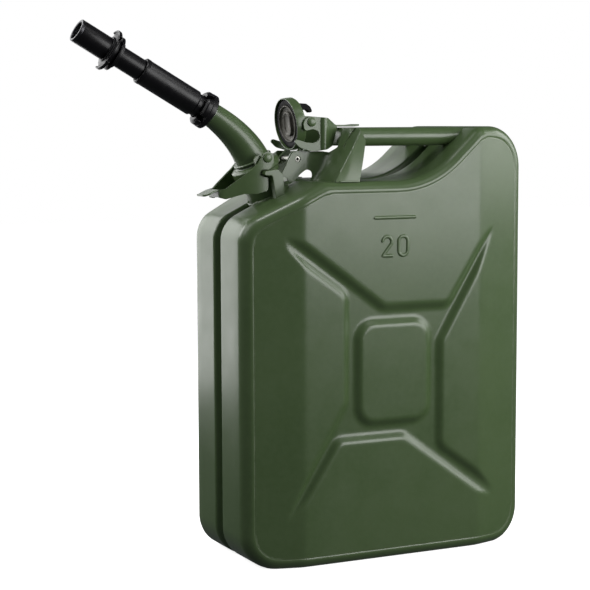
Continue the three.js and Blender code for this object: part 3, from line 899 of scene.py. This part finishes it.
def build_handles():
    sides = 48
    for name, middle in HANDLES.items():
        points, rings = [], 26
        for r in range(rings):
            for i in range(sides):
                angle = 2 * math.pi * i / sides
                y = middle.y + HANDLE_RADIUS * math.cos(angle)
                z = middle.z + HANDLE_RADIUS * math.sin(angle)
                start = wall_x(y, z) + BRACKET_SHEET + 0.6
                end = horn_x(min(z, CREST_Z - 1.2)) + 0.6
                points.append((start + (end - start) * r / (rings - 1), y, z))
        faces = tube_faces(rings, sides)
        faces.append(tuple(reversed(range(sides))))
        faces.append(tuple(range(len(points) - sides, len(points))))
        make(name + "_tube", points, faces, "can", "paint", [name], sharp=50)
        weld = [
            (
                Vector((horn_x(min(z, CREST_Z - 1.2)) - 0.2, y, z)),
                Vector((0.72, 0, 0.69)),
                Vector((0, math.cos(a), math.sin(a))),
            )
            for a in np.linspace(0, 2 * math.pi, 72, endpoint=False)
            for y, z in [(middle.y + HANDLE_RADIUS * math.cos(a), middle.z + HANDLE_RADIUS * math.sin(a))]
        ]
        weld = [w for w in weld if w[0].z < CREST_Z - 1.5]
        ripple = [1 + 0.12 * math.sin(k * 1.9) for k in range(len(weld))]
        round_section = oval_section(1.7, 1.7, 10)
        first = max(range(len(weld)), key=lambda k: (weld[k][0] - weld[k - 1][0]).length)
        weld = weld[first:] + weld[:first]
        p, f = swept(weld, round_section, scale=ripple)
        make(name + "_weld", p, f, "can", "paint", sharp=70)


def band_bend(y, z):
    """The band lies behind the saddle's front wall and leans back with it."""
    return Vector((bracket_front(z) + 1.2, y, z)), Vector((-0.85, 0, 0.52))


def build_bracket():
    """The saddle: one sheet a side, from cheek round front wall to hinge web, and a band across them."""
    top, foot = BRACKET_TOP_Z, BRACKET_FOOT_Z
    cheek_edge = [(bracket_run(z, y=200), z) for z in np.linspace(foot, 453, 12)]
    outline = filleted(
        [
            *cheek_edge,
            (bracket_run(456, y=200), 456, 3),
            (bracket_run(463, y=200) - 4.2, 463, 2),
            (bracket_run(top, y=200) - 8, top, 2.5),
            (bracket_run(469.5, y=33), 469.5),
            (bracket_run(456, y=36), 456, 5),
            (bracket_run(449, y=38), 449, 4),
            (bracket_run(443.6, x=-50), 443.4, 2.5),
            (bracket_run(444.6, x=-58), 444.6, 3),
            (bracket_run(444.6, x=-78), 444.6, 3),
            (bracket_run(445, x=-91.6), 445.1, 4),
            (bracket_run(442, x=-95.4), 441.9, 4),
            (bracket_run(434, x=-99.2), 434.4, 3),
            (bracket_run(422, x=-101.5), 422.6, 3),
            (bracket_run(416, x=-97.5), 412.5),
            (bracket_run(413, x=-92), 411.6, 1),
            (bracket_run(420, x=-83.3), 420.1, 6),
            (bracket_run(425, x=-76), 425.2, 5),
            (bracket_run(423, x=-70), 423.4, 4),
            (bracket_run(417, x=-69.4), 417.7, 4),
            (bracket_run(413, x=-72), 412.4),
        ],
        0.8,
    )
    for side, name in ((-1, "near"), (1, "far")):
        hole = [(bracket_run(HINGE.z, x=HINGE.x), HINGE.z, 3.3)]
        points, faces = sheet(outline, hole, BRACKET_SHEET, bracket_bend(side), creases=corner_lines())
        replaced = ["hinge_web_" + name] + (["handle_bracket"] if side < 0 else [])
        bevel(make("saddle_" + name, *oriented(points, faces), "can", "paint", replaced, sharp=50), 0.45)
        corners = filleted([(-67, 64, 3), (-38.5, 64, 3), (-38.5, 76.5, 5), (-67, 76.5, 5)], 1.0)
        foot_plate = oriented(*sheet(corners, [], 1.6, level_at(foot + 0.8, side)))
        piece = make("saddle_foot_" + name, *foot_plate, "can", "paint")
        bevel(piece, 0.5)
    band = filleted([(-40, 452.5, 4), (40, 452.5, 4), (40, top - 0.2, 1), (-40, top - 0.2, 1)], 1.0)
    bevel(make("saddle_band", *oriented(*sheet(band, [], 1.6, band_bend)), "can", "paint"), 0.4)


# ---- Neck --------------------------------------------------------------------------------------
def build_neck():
    profile = rounded_profile(
        [
            (20, -3),
            (22, -3),
            (22, 30.5, 1.5),
            (24, 32, 1.2),
            (24, 35.6, 1.2),
            (22.6, 36.5, 0.8),
            (20.6, 36.5, 0.6),
            (20, 35.5, 0.4),
        ]
    )
    make("neck_tube", *turned(profile, NECK, 96), "can", "paint", ["filler_neck"], sharp=40)
    sides, weld = 96, []
    for i in range(sides):
        angle = 2 * math.pi * i / sides
        ripple = 0.25 * math.sin(i * 1.7)
        radial = Vector((math.cos(angle), math.sin(angle), 0))
        over_groove = abs(22 * math.sin(angle)) < 8
        height = 7.9 if not over_groove else 6.6
        point = NECK @ (radial * 22.3 + Vector((0, 0, height + ripple)))
        weld.append((point, (NECK.to_3x3() @ radial), NECK.to_3x3() @ Vector((0, 0, 1))))
    section = oval_section(2.4, 1.9, 12)
    make("neck_weld", *swept(weld, section, closed=True), "can", "paint", sharp=70)


def build_neck_ears():
    """Side straps whose tops turn forward as the lugs that the levers catch."""
    foot = [slope_point(-119.5), slope_point(-109)]
    corners = [
        (*foot[0],),
        (*foot[1],),
        (-110.8, 420.5, 5),
        (-117.5, 426.5, 4),
        (-131.5, 424.3, 2.2),
        (-133.6, 421.9, 1.8),
        (-131.5, 419.6, 2.2),
        (-123.8, 419.4, 2.5),
    ]
    outline = filleted(corners, 0.6)
    for side, name in ((-1, "near"), (1, "far")):
        points, faces = prism(outline, side * 27.6, side * 36.0)
        bevel(make("neck_lug_" + name, points, faces, "can", "paint", ["neck_ear_" + name]), 0.8, 3)


def slope_point(x, lift=0.35):
    return (x, TOP_Z + (x - SLOPE_TOP_X) * slope_rise + lift)


def prism(outline, y0, y1):
    """A solid between two values of y with an outline in XZ."""
    low, high = sorted((y0, y1))
    count = len(outline)
    points = [(p[0], low, p[1]) for p in outline] + [(p[0], high, p[1]) for p in outline]
    faces = [tuple(range(count)), tuple(reversed(range(count, 2 * count)))]
    for i in range(count):
        j = (i + 1) % count
        faces.append((j, i, i + count, j + count))
    return points, faces


def build_hinge():
    """The hinge straps outside the webs, and the hollow pin through them."""
    outline = filleted(
        [
            (-94.1, 442.7, 4),
            (-89.6, 444.6, 5),
            (-84.3, 443.6, 5),
            (-81.9, 439.0, 5),
            (-83.6, 430.5, 4),
            (-85.9, 427.1, 3),
            (-92.7, 421.8, 3),
            (-98.5, 414.9),
            (-106.9, 419.3),
            (-105.6, 423, 2),
            (-97.9, 436, 5),
        ],
        0.7,
    )
    for side, name in ((-1, "near"), (1, "far")):
        hole = [(HINGE.x, HINGE.z, 3.5)]
        points, faces = sheet(outline, hole, 2.0, flat_at(side * 22.3), spacing=4)
        bevel(make("hinge_strap_" + name, *oriented(points, faces), "can", "paint"), 0.45)
    axes = axis_frame_any(Vector((HINGE.x, 0, HINGE.z)), Vector((0, 1, 0)))
    tube = rounded_profile([(1.7, -22.6), (3.1, -22.6, 0.5), (3.1, 22.6, 0.5), (1.7, 22.6)], 0.3)
    make("hinge_tube", *oriented(*turned(tube, axes, 40)), "can", "steel", ["hinge_pin"])


# ---- Cap ---------------------------------------------------------------------------------------
def build_cap():
    """The cap's pressed cup, with the gasket and the lining sunk inside its skirt."""
    shell = rounded_profile(
        [
            (0, 1.0),
            (27.2, 1.0, 0.5),
            (27.2, -4.7, 0.3),
            (28.3, -4.7, 0.5),
            (28.3, 4.6, 2.4),
            (26.4, 7.2, 1.6),
            (9, 7.4, 3),
            (7, 6.0, 2),
            (0, 6.0),
        ],
        0.5,
    )
    make("cap_shell", *turned(shell, CAP, 112), "cap", "paint", ["cap_disc"], sharp=40)
    ring = rounded_profile([
        (20.4, 0.6),
        (20.4, -2.4, 0.8),
        (23.6, -3.0, 4),
        (26.9, -2.2, 0.8),
        (26.9, 0.6),
    ], 0.4)
    make("cap_seal", *turned(ring, CAP, 96), "cap", "rubber", ["cap_gasket"], sharp=40)
    dish = rounded_profile(
        [
            (0, 0.6),
            (20.1, 0.6),
            (20.1, -3.4, 0.5),
            (18.9, -3.4, 0.5),
            (18.0, -1.4, 0.8),
            (15, -0.5, 2),
            (0, -0.5),
        ],
        0.4,
    )
    make("cap_dish", *turned(dish, CAP, 96), "cap", "cap_lining", ["cap_boss"], sharp=40)
    oval = filleted([(-8.6, -14, 8.5), (8.6, -14, 8.5), (8.6, 14, 8.5), (-8.6, 14, 8.5)], 0.6)
    levels = ((1.0, -0.3), (0.98, -2.4), (0.94, -3.2), (0.88, -3.5), (0.80, -3.2), (0.74, -2.4))
    points = [tuple(CAP @ Vector((p.y * s, p.x * s, h))) for s, h in levels for p in oval]
    faces = tube_faces(len(levels), len(oval))
    faces.append(tuple(reversed(range(len(oval)))))
    faces.append(tuple(range(len(points) - len(oval), len(points))))
    make("cap_oval", *oriented(points, faces), "cap", "cap_lining", sharp=60)
    build_cap_sheets()


def build_cap_sheets():
    lug = filleted(
        [
            (-93.2, 437, 4),
            (-91, 431.5, 3),
            (-85, 430.6, 4),
            (-81.4, 435, 5),
            (-76.5, 452),
            (-80, 452.4),
            (-83.4, 446, 2),
        ], 0.7
    )
    ear = filleted(
        [(-84.8, 466), (-76, 468.6, 4), (-69.2, 471.5, 5), (-68, 478, 5), (-72, 482.3, 4), (-85.5, 483)], 0.7
    )
    for side, name in ((-1, "near"), (1, "far")):
        for y in (14.2, 16.9):
            hole = [(HINGE.x, HINGE.z, 3.3)]
            points, faces = sheet(lug, hole, 1.8, flat_at(side * y), spacing=4)
            place = "inner" if y < 15 else "outer"
            bevel(make(f"cap_lug_{name}_{place}", points, faces, "cap", "paint"), 0.4)
        hole = [(CAP_RIVET.x, CAP_RIVET.z, 3.3)]
        points, faces = sheet(ear, hole, 2.2, flat_at(side * 26.1), spacing=4)
        bevel(make("cap_ear_" + name, points, faces, "cap", "paint"), 0.4)
        build_rivet("cap_pin_" + name, CAP_RIVET, side, (24.4, 31.8), "cap", "cap_rivet_" + name)
    catch = filleted(
        [
            (-81.4, 497, 2),
            (-80.5, 489.6),
            (-66.4, 489.3, 1.5),
            (-63.5, 486.4, 1),
            (-59.6, 487.2, 1.5),
            (-62.2, 493, 4),
            (-67.1, 496.2, 4),
        ],
        0.6,
    )
    # The catch is drawn with the near-black rubber finish, darker than the paint round it.
    bevel(make("cap_hook", *prism(catch, -4, 4), "cap", "paint", ["cap_catch"], finish="rubber"), 1.0, 3)


def build_rivet(name, pivot, side, span, body, node):
    """A rivet across a lever's arm, with a domed head outside."""
    inner, outer = span
    a = Vector((pivot.x, side * inner, pivot.z))
    b = Vector((pivot.x, side * outer, pivot.z))
    shank = bar(a, b, 2.9, 28)
    head = bar(b - (b - a).normalized() * 0.2, b + (b - a).normalized() * 0.5, 5.0, 36, dome=1.7)
    make(name, *joined(shank, head), body, "paint", [node], sharp=50)


def forked(profile_near, path, thickness, holes, spacing=2.0):
    """A forked lever: a blank bent round a plan path that starts in the middle of its closed end."""
    xs = [p.x for p in path]
    lengths = [0.0]
    for a, b in zip(path, path[1:]):
        lengths.append(lengths[-1] + (b - a).length)

    def run_of(x):
        order = np.lexsort((lengths, xs))
        return float(np.interp(x, np.array(xs)[order], np.array(lengths)[order]))

    def bend(s, z):
        side = 1 if s < 0 else -1
        run = abs(s)
        x = float(np.interp(run, lengths, xs))
        y = float(np.interp(run, lengths, [p.y for p in path]))
        step = 0.8
        x2 = float(np.interp(run + step, lengths, xs))
        y2 = float(np.interp(run + step, lengths, [p.y for p in path]))
        x1 = float(np.interp(max(0, run - step), lengths, xs))
        y1 = float(np.interp(max(0, run - step), lengths, [p.y for p in path]))
        if run < step:
            y1 = -y2
            x1 = x2
        along = Vector((x2 - x1, y2 - y1, 0)).normalized()
        normal = Vector((along.y, -along.x, 0))
        point = Vector((x, y, z))
        if side > 0:
            point.y, normal.y = -point.y, -normal.y
        return point, normal * turn_out

    middle = path[len(path) // 2]
    outward = Vector((path[-1].x - path[-2].x, path[-1].y - path[-2].y))
    turn_out = 1 if Vector((outward.y, -outward.x)).dot(Vector((0, math.copysign(1, middle.y)))) > 0 else -1
    half = [Vector((run_of(p.x), p.y)) for p in profile_near]
    other = [Vector((-p.x, p.y)) for p in reversed(half)]
    outline = half + other
    blank_holes = []
    for x, z, radius in holes:
        blank_holes += [(run_of(x), z, radius), (-run_of(x), z, radius)]
    return sheet(outline, blank_holes, thickness, bend, spacing)


def oriented(points, faces):
    """The same solid with its faces turned to point out."""
    volume = 0.0
    for f in faces:
        a = Vector(points[f[0]])
        for i in range(1, len(f) - 1):
            volume += a.dot(Vector(points[f[i]]).cross(Vector(points[f[i + 1]])))
    return (points, faces) if volume > 0 else (points, [tuple(reversed(f)) for f in faces])


def build_cap_lever():
    """The cap's locking lever, forked round the cap, with its thumb tab on the saddle."""
    plan = filleted(
        [
            (-35.5, 0),
            (-35.5, 13.2, 3),
            (-58.4, 33.2, 0.6),
            (-61.2, 33.2, 0.6),
            (-63.6, 30.4, 0.6),
            (-100, 30.4),
        ],
        0.4,
        closed=False,
    )
    profile = filleted(
        [
            (-35.5, 472.6),
            (-40, 473.5, 3),
            (-55.4, 480.6, 6),
            (-76, 482.3, 6),
            (-82, 479.5, 5),
            (-84.4, 474.5, 4),
            (-83.5, 468, 3),
            (-80.5, 466.9, 2),
            (-72.9, 468.6, 3),
            (-66.6, 466.2, 3),
            (-64.6, 460.6, 4),
            (-66.8, 455.6, 4),
            (-72.4, 453.6, 3),
            (-80.9, 454.2, 6),
            (-91.6, 457.5, 2.4),
            (-96.4, 455.9, 2),
            (-88.1, 448.4, 8),
            (-76.1, 445, 12),
            (-66.4, 444.9, 12),
            (-55.5, 447, 6),
            (-45.8, 450.2, 5),
            (-40.4, 459, 8),
            (-38, 465.5),
            (-35.5, 469.6),
        ],
        0.8,
        closed=False,
    )
    holes = [(CAP_RIVET.x, CAP_RIVET.z, 3.2)]
    points, faces = forked(profile, plan, 2.2, holes, spacing=1.2)
    fork = make("cap_lever_fork", *oriented(points, faces), "cap_lock", "paint", ["cap_lever"])
    bevel(fork, 0.5)
    outline = filleted([(-37, -12), (-37, 12), (-9, 12, 6), (-4.2, 9, 4), (-4.2, -9, 4), (-9, -12, 6)], 0.8)

    def lay(x, y):
        rise = 0.9 * float(smooth_step((x + 14) / 12))
        return Vector((x, y, 472 + rise)), Vector((0, 0, 1))

    points, faces = sheet(outline, [], 1.9, lay)
    bevel(make("cap_lever_tab", *oriented(points, faces), "cap_lock", "paint"), 0.5)


# ---- Spout -------------------------------------------------------------------------------------
def build_spout_base():
    cup = rounded_profile(
        [
            (25, 37.3, 0.3),
            (27, 37.3, 0.6),
            (27, 44.3, 1.6),
            (23.5, 46.2, 1.5),
            (20.6, 46.8, 1.6),
            (20.4, 50, 0.6),
            (17.5, 50, 0.4),
            (17.5, 41.5),
            (25, 41.5),
        ],
        0.4,
    )
    make("spout_cup", *turned(cup, NECK, 96), "can", "paint", ["spout_base"], sharp=40)
    ear = [(-4, 44), (10, 44), (9.6, 52, 4), (7.5, 56.8, 4), (1.5, 56.8, 4), (-1.5, 52, 4)]
    local = filleted(ear, 0.7)
    outline = [Vector(((NECK @ Vector((-p.x, 0, p.y))).x, (NECK @ Vector((-p.x, 0, p.y))).z)) for p in local]
    if signed_area([tuple(p) for p in outline]) < 0:
        outline.reverse()
    for side, name in ((-1, "near"), (1, "far")):
        hole = [(SPOUT_RIVET.x, SPOUT_RIVET.z, 3.2)]
        points, faces = sheet(outline, hole, 2.4, flat_at(side * 25.6), spacing=4)
        bevel(make("spout_ear_" + name, points, faces, "can", "paint"), 0.45)
        build_rivet("spout_pin_" + name, SPOUT_RIVET, side, (23.4, 30.7), "can", "spout_rivet_" + name)


def pipe_path(count):
    """Points and directions along the spout's bend, from the cup to inside the collar."""
    ends = [
        NECK @ Vector((0, 0, 50.4)),
        NECK @ Vector((0, 0, 64)),
        NOZZLE @ Vector((0, 0, -34)),
        NOZZLE @ Vector((0, 0, 8)),
    ]
    fine = []
    for k in range(201):
        t = k / 200
        weights = ((1 - t) ** 3, 3 * t * (1 - t) ** 2, 3 * t * t * (1 - t), t**3)
        fine.append(sum((p * w for p, w in zip(ends, weights)), Vector()))
    lengths = np.concatenate([[0], np.cumsum([(b - a).length for a, b in zip(fine, fine[1:])])])
    places = []
    for run in np.linspace(0, lengths[-1], count):
        places.append(Vector([float(np.interp(run, lengths, [p[i] for p in fine])) for i in range(3)]))
    return places


def build_pipe():
    """The tapered elbow, drawn from two pressed halves joined by a fine ridge on the centre plane."""
    count, sides = 56, 96
    places = pipe_path(count)
    outer, inner = [], []
    for k, centre in enumerate(places):
        along = (places[min(k + 1, count - 1)] - places[max(k - 1, 0)]).normalized()
        across = Vector((0, 1, 0)).cross(along).normalized()
        radius = 19 + (12 - 19) * k / (count - 1)
        for i in range(sides):
            angle = 2 * math.pi * i / sides
            ridge = 0.35 * max(0.0, abs(math.cos(angle)) - 0.995) / 0.005
            way = across * math.cos(angle) + Vector((0, 1, 0)) * math.sin(angle)
            outer.append(centre + way * (radius + ridge))
            inner.append(centre + way * (radius - 1.4))
    base = len(outer)
    faces = tube_faces(count, sides)
    faces += [tuple(base + i for i in reversed(f)) for f in tube_faces(count, sides)]
    for i in range(sides):
        j = (i + 1) % sides
        faces.append((j, i, base + i, base + j))
        last = (count - 1) * sides
        faces.append((last + i, last + j, base + last + j, base + last + i))
    pipe = oriented([tuple(p) for p in outer + inner], faces)
    make("spout_elbow", *pipe, "can", "paint", ["spout_pipe"], sharp=50)
    bead = rounded_profile([(12.9, -2.0, 0.3), (14.6, -1.9, 0.7), (14.6, -0.4, 0.6), (12.9, -0.3, 0.3)], 0.3)
    make("pipe_end_ring", *oriented(*turned(bead, NOZZLE, 72)), "can", "tip_metal", sharp=50)
    weld = oval_section(2.1, 1.5, 12)
    path = []
    for i in range(96):
        angle = 2 * math.pi * i / 96
        radial = Vector((math.cos(angle), math.sin(angle), 0))
        point = NECK @ (radial * (19.6 + 0.12 * math.sin(i * 1.9)) + Vector((0, 0, 50.2)))
        path.append((point, NECK.to_3x3() @ radial, NECK.to_3x3() @ Vector((0, 0, 1))))
    make("spout_weld", *oriented(*swept(path, weld, closed=True)), "can", "paint", sharp=70)


def build_spout_lever():
    """The spout's locking lever, forked round the neck, with a turned-down tab in front."""
    x, z = SPOUT_RIVET.x, SPOUT_RIVET.z

    def slot(radius, degrees, fillet=0):
        angle = math.radians(degrees)
        return (x + radius * math.sin(angle), z - radius * math.cos(angle), fillet)

    plan = filleted([(-175.2, 0), (-175.2, 15.2, 4), (-139.8, 29.3, 70), (-112, 29.3)], 0.8, closed=False)
    profile = filleted(
        [
            (-175.2, 396.4),
            (-170.3, 394.3, 5),
            (-158.7, 398.0, 8),
            (-151.7, 400.0, 6),
            (-138, 400.2, 10),
            (-126.4, 403.6, 3),
            slot(22, 2, 1),
            slot(20.6, -4),
            slot(20.6, -14),
            slot(19.6, -26, 1.6),
            slot(15.4, -31, 1.6),
            slot(12.8, -22),
            slot(12.2, 10, 1),
            (-119.8, 433, 3),
            (-119.2, 440, 5),
            (-124, 445.2, 5),
            (-131.5, 443.4, 5),
            (-137.5, 432.9, 8),
            (-144.5, 425.6, 10),
            (-155.1, 417.3, 10),
            (-164.4, 410.4, 8),
            (-170, 405.6, 4),
            (-175.2, 404.6),
        ],
        0.8,
        closed=False,
    )
    holes = [(x, z, 3.2)]
    points, faces = forked(profile, plan, 2.4, holes)
    fork = make("spout_lever_fork", *oriented(points, faces), "spout_lock", "paint", ["spout_lever"])
    bevel(fork, 0.5)
    outline = filleted([
        (-174.6, -12.5),
        (-174.6, 12.5),
        (-186, 13, 3),
        (-192.8, 10, 4),
        (-192.8, -10, 4),
        (-186, -13, 3),
    ], 0.8)

    def lay(a, y):
        drop = float(smooth_step((-a - 176) / 17))
        return Vector((a, y, 403.8 - 5.4 * drop)), Vector((-0.25 * drop, 0, 1)).normalized()

    points, faces = sheet(outline, [], 2.0, lay)
    bevel(make("spout_lever_tab", *oriented(points, faces), "spout_lock", "paint"), 0.6)


# ---- Nozzle ------------------------------------------------------------------------------------
def nozzle_piece(name, corners, body, slot, replaced, finish=None):
    points, faces = oriented(*turned(rounded_profile(corners, 0.35), NOZZLE, 80))
    return make(name, points, faces, body, slot, replaced, sharp=40, finish=finish)


def build_nozzle():
    nozzle_piece(
        "collar_ring",
        [
            (13.1, 0, 0.3),
            (18.4, 0, 0.8),
            (19.6, 1.2, 0.6),
            (19.6, 6.4, 0.8),
            (16.2, 7.0, 0.5),
            (16.2, 8.0),
            (13.1, 8.0),
        ],
        "can",
        "nozzle_plastic",
        ["nozzle_collar"],
    )
    for k in range(4):
        middle = math.radians(90 * k)
        build_collar_lobe(f"collar_lobe_{k}", middle, math.radians(34))
    nozzle_piece(
        "sleeve",
        [
            (9.5, 8.6),
            (12.25, 8.6),
            (12.25, 19.6, 0.8),
            (14, 21.2, 1.2),
            (14, 83.6),
            (14.35, 84.4, 0.3),
            (14.35, 88.2, 0.8),
            (13.2, 89.3, 0.5),
            (11.8, 89.3, 0.3),
            (11.8, 24),
            (9.5, 24),
        ],
        "can",
        "nozzle_plastic",
        ["nozzle_sleeve"],
    )
    nozzle_piece(
        "inner_slide",
        [(9.7, 68), (11.5, 68, 0.3), (11.5, 117.6), (9.7, 117.6)],
        "nozzle_front",
        "nozzle_plastic",
        ["slide_tube"],
    )
    nozzle_piece(
        "flange_discs",
        [
            (9.7, 117.8),
            (14.4, 117.8, 0.8),
            (14.6, 120.2, 0.6),
            (19, 120.9, 0.5),
            (19, 123.3, 0.7),
            (15, 124, 0.8),
            (15, 126.4, 0.8),
            (19, 127.1, 0.7),
            (19, 129.7, 0.5),
            (14.6, 130.2, 0.6),
            (14.0, 132.2, 0.8),
            (9.7, 132.2),
        ],
        "nozzle_front",
        "nozzle_plastic",
        ["hook_flange"],
    )
    for side in (1, -1):
        build_hook(side)
    nozzle_piece(
        "tip_barrel",
        [(9.9, 132.3), (12.7, 132.3, 0.4), (12.7, 165.2, 0.3), (9.9, 165.2)],
        "nozzle_front",
        "nozzle_plastic",
        ["tip_tube"],
    )
    nozzle_piece(
        "tip_end",
        [
            (9.2, 165.35),
            (12.7, 165.35, 0.2),
            (12.7, 168.6, 0.5),
            (12.1, 169.2, 0.3),
            (9.9, 169.0, 0.5),
            (9.2, 167.5, 0.4),
        ],
        "nozzle_front",
        "tip_metal",
        ["tip_ring"],
        finish="blacked_metal",
    )
    nozzle_piece(
        "tip_valve_head",
        [
            (0, 150),
            (2.5, 150),
            (2.5, 158),
            (8.9, 160, 0.6),
            (8.9, 162.6, 0.8),
            (5.2, 163.2, 0.5),
            (4.4, 161.8, 0.5),
            (2.6, 161.8, 0.4),
            (2.2, 164.4, 0.8),
            (0, 164.8),
        ],
        "nozzle_front",
        "tip_metal",
        ["tip_valve"],
    )


def build_collar_lobe(name, middle, half):
    """One of the raised lobes on the front of the collar."""
    section = filleted([(13.1, 6.2), (19.3, 6.2), (19.3, 11.4, 2.2), (16.4, 13.9, 1.6), (13.1, 13.9)], 0.5)
    steps = 14
    points = []
    for k in range(steps + 1):
        share = -1 + 2 * k / steps
        angle = middle + half * share
        fade = 1 - 0.10 * share**6
        for p in section:
            r = 13.1 + (p.x - 13.1) * fade
            points.append(NOZZLE @ Vector((r * math.cos(angle), r * math.sin(angle), p.y)))
    count = len(section)
    faces = tube_faces(steps + 1, count)
    faces.append(tuple(reversed(range(count))))
    faces.append(tuple(range(len(points) - count, len(points))))
    piece = make(name, *oriented([tuple(p) for p in points], faces), "can", "nozzle_plastic", sharp=45)
    bevel(piece, 0.5)


def build_hook(side):
    """An ear of the flange that the can's hook catches, with a rim that stands forward."""
    section = filleted(
        [
            (13, 126.8),
            (21.6, 126.8, 1.2),
            (22.8, 128, 1),
            (22.8, 131, 0.7),
            (21.2, 131, 0.6),
            (20.8, 129.5, 0.8),
            (13, 129.5),
        ],
        0.4,
    )
    steps = 26
    points = []
    for k in range(steps + 1):
        angle = math.radians(-50 + 74 * k / steps)
        for p in section:
            across = p.x * math.cos(angle) * side
            points.append(NOZZLE @ Vector((across, p.x * math.sin(angle), p.y)))
    count = len(section)
    faces = tube_faces(steps + 1, count)
    faces.append(tuple(reversed(range(count))))
    faces.append(tuple(range(len(points) - count, len(points))))
    name = "flange_ear_upper" if side > 0 else "flange_ear_lower"
    ear = oriented([tuple(p) for p in points], faces)
    piece = make(name, *ear, "nozzle_front", "nozzle_plastic", sharp=50)
    bevel(piece, 0.4)


# ---- Assembly ----------------------------------------------------------------------------------
def finish_cad_nodes():
    """The pieces that the CAD shapes are right for take the same finishes."""
    for node, finish in (("breather_tube", "steel"), ("vent_tube", "steel"), ("spout_gasket", "rubber")):
        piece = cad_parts[node]
        piece.data.materials.clear()
        piece.data.materials.append(MATERIALS[finish])


build_shells()
build_seam()
build_marks()
build_handles()
build_bracket()
build_neck()
build_neck_ears()
build_hinge()
build_cap()
build_cap_lever()
build_spout_base()
build_pipe()
build_spout_lever()
build_nozzle()
finish_cad_nodes()


# ---- Floor, lights and camera ------------------------------------------------------------------
def build_stage():
    floor_mesh = bpy.data.meshes.new("floor")
    reach = 6.0
    floor_mesh.from_pydata(
        [(-reach, -reach, 0), (reach, -reach, 0), (reach, reach, 0), (-reach, reach, 0)], [], [(0, 1, 2, 3)]
    )
    floor = bpy.data.objects.new("floor", floor_mesh)
    bpy.context.scene.collection.objects.link(floor)
    m = Nodes("floor")
    tone = m.ramp(m.noise(3, 2), 0.3, 0.7)
    m.colour(m.mix(tone, (0.84, 0.84, 0.84, 1), (0.88, 0.88, 0.88, 1)))
    m.shader.inputs["Roughness"].default_value = 0.9
    m.shader.inputs["Emission Color"].default_value = (1, 1, 1, 1)
    away = m.add("ShaderNodeVectorMath", {0: m.coords}, operation="LENGTH").outputs["Value"]
    glow = m.add(
        "ShaderNodeMapRange",
        {"Value": away, "From Min": 0.35, "From Max": 1.1, "To Min": 0.86, "To Max": 1.0},
        interpolation_type="SMOOTHSTEP",
    ).outputs["Result"]
    m.tree.links.new(glow, m.shader.inputs["Emission Strength"])
    floor_mesh.materials.append(m.material)
    floor.visible_glossy = False
    floor.visible_diffuse = False


def build_world():
    """White behind the object, and a dim grey studio in its reflections."""
    world = bpy.data.worlds.new("studio")
    world.use_nodes = True
    tree = world.node_tree
    studio = tree.nodes["Background"]
    studio.inputs["Color"].default_value = (0.9, 0.95, 1.0, 1)
    studio.inputs["Strength"].default_value = 0.08
    backdrop = tree.nodes.new("ShaderNodeBackground")
    backdrop.inputs["Strength"].default_value = 1.0
    backdrop.inputs["Color"].default_value = (1, 1, 1, 1)
    mix = tree.nodes.new("ShaderNodeMixShader")
    rays = tree.nodes.new("ShaderNodeLightPath")
    tree.links.new(rays.outputs["Is Camera Ray"], mix.inputs[0])
    tree.links.new(studio.outputs[0], mix.inputs[1])
    tree.links.new(backdrop.outputs[0], mix.inputs[2])
    tree.links.new(mix.outputs[0], tree.nodes["World Output"].inputs["Surface"])
    bpy.context.scene.world = world


def area_light(name, bearing, distance, height, aim_height, size, radiance):
    """A softbox facing the can, at a bearing from -Y towards +X, with the power of its size and radiance."""
    turn = math.radians(bearing)
    aim = Vector((CAN_X * MM, 0, aim_height))
    place = aim + Vector((math.sin(turn) * distance, -math.cos(turn) * distance, height - aim_height))
    data = bpy.data.lights.new(name, "AREA")
    data.shape = "RECTANGLE"
    data.size, data.size_y = size
    data.energy = radiance * math.pi * size[0] * size[1]
    lamp = bpy.data.objects.new(name, data)
    lamp.location = place
    lamp.rotation_euler = (aim - place).to_track_quat("-Z", "Y").to_euler()
    bpy.context.scene.collection.objects.link(lamp)


def build_lights():
    area_light("front_right", 27, 1.4, 0.7, 0.7, (0.8, 0.9), 5.1)
    area_light("rear_left", 206, 1.0, 0.57, 0.57, (0.7, 1.06), 2.0)
    area_light("right", 55, 1.2, 0.6, 0.6, (0.5, 0.5), 3.5)
    area_light("right_side", 80, 1.2, 0.8, 0.5, (0.6, 0.8), 3.8)
    area_light("left_side", -90, 1.1, 1.15, 0.4, (0.6, 0.8), 2.4)
    area_light("high_front", 20, 0.8, 1.5, 0.5, (0.8, 0.4), 1.4)
    area_light("rear", 168, 1.2, 0.9, 0.9, (0.5, 0.5), 0.9)
    area_light("glint", -74, 0.5, 1.45, 0.46, (0.18, 0.18), 22.0)
    area_light("left_rear", -125, 1.2, 0.9, 0.4, (0.5, 0.6), 6.0)


CAMERA_YAW, CAMERA_PITCH, CAMERA_ROLL = 25.92, 5.887, -0.192
CAMERA_PLACE = Vector((-888.4, -1663.2, 476.85))
CAMERA_LENS, SENSOR = 102.7, 36.0


def build_camera():
    data = bpy.data.cameras.new("camera")
    data.lens = CAMERA_LENS
    data.sensor_width = SENSOR
    camera = bpy.data.objects.new("camera", data)
    camera.location = (CAMERA_PLACE + Vector((CAN_X, 0, 0))) * MM
    yaw = Matrix.Rotation(-math.radians(CAMERA_YAW), 4, "Z")
    pitch = Matrix.Rotation(math.radians(90 - CAMERA_PITCH), 4, "X")
    roll = Matrix.Rotation(math.radians(CAMERA_ROLL), 4, "Z")
    camera.rotation_euler = (yaw @ pitch @ roll).to_euler()
    bpy.context.scene.collection.objects.link(camera)
    bpy.context.scene.camera = camera


build_stage()
build_world()
build_lights()
build_camera()
bpy.context.scene.view_settings.view_transform = "Standard"
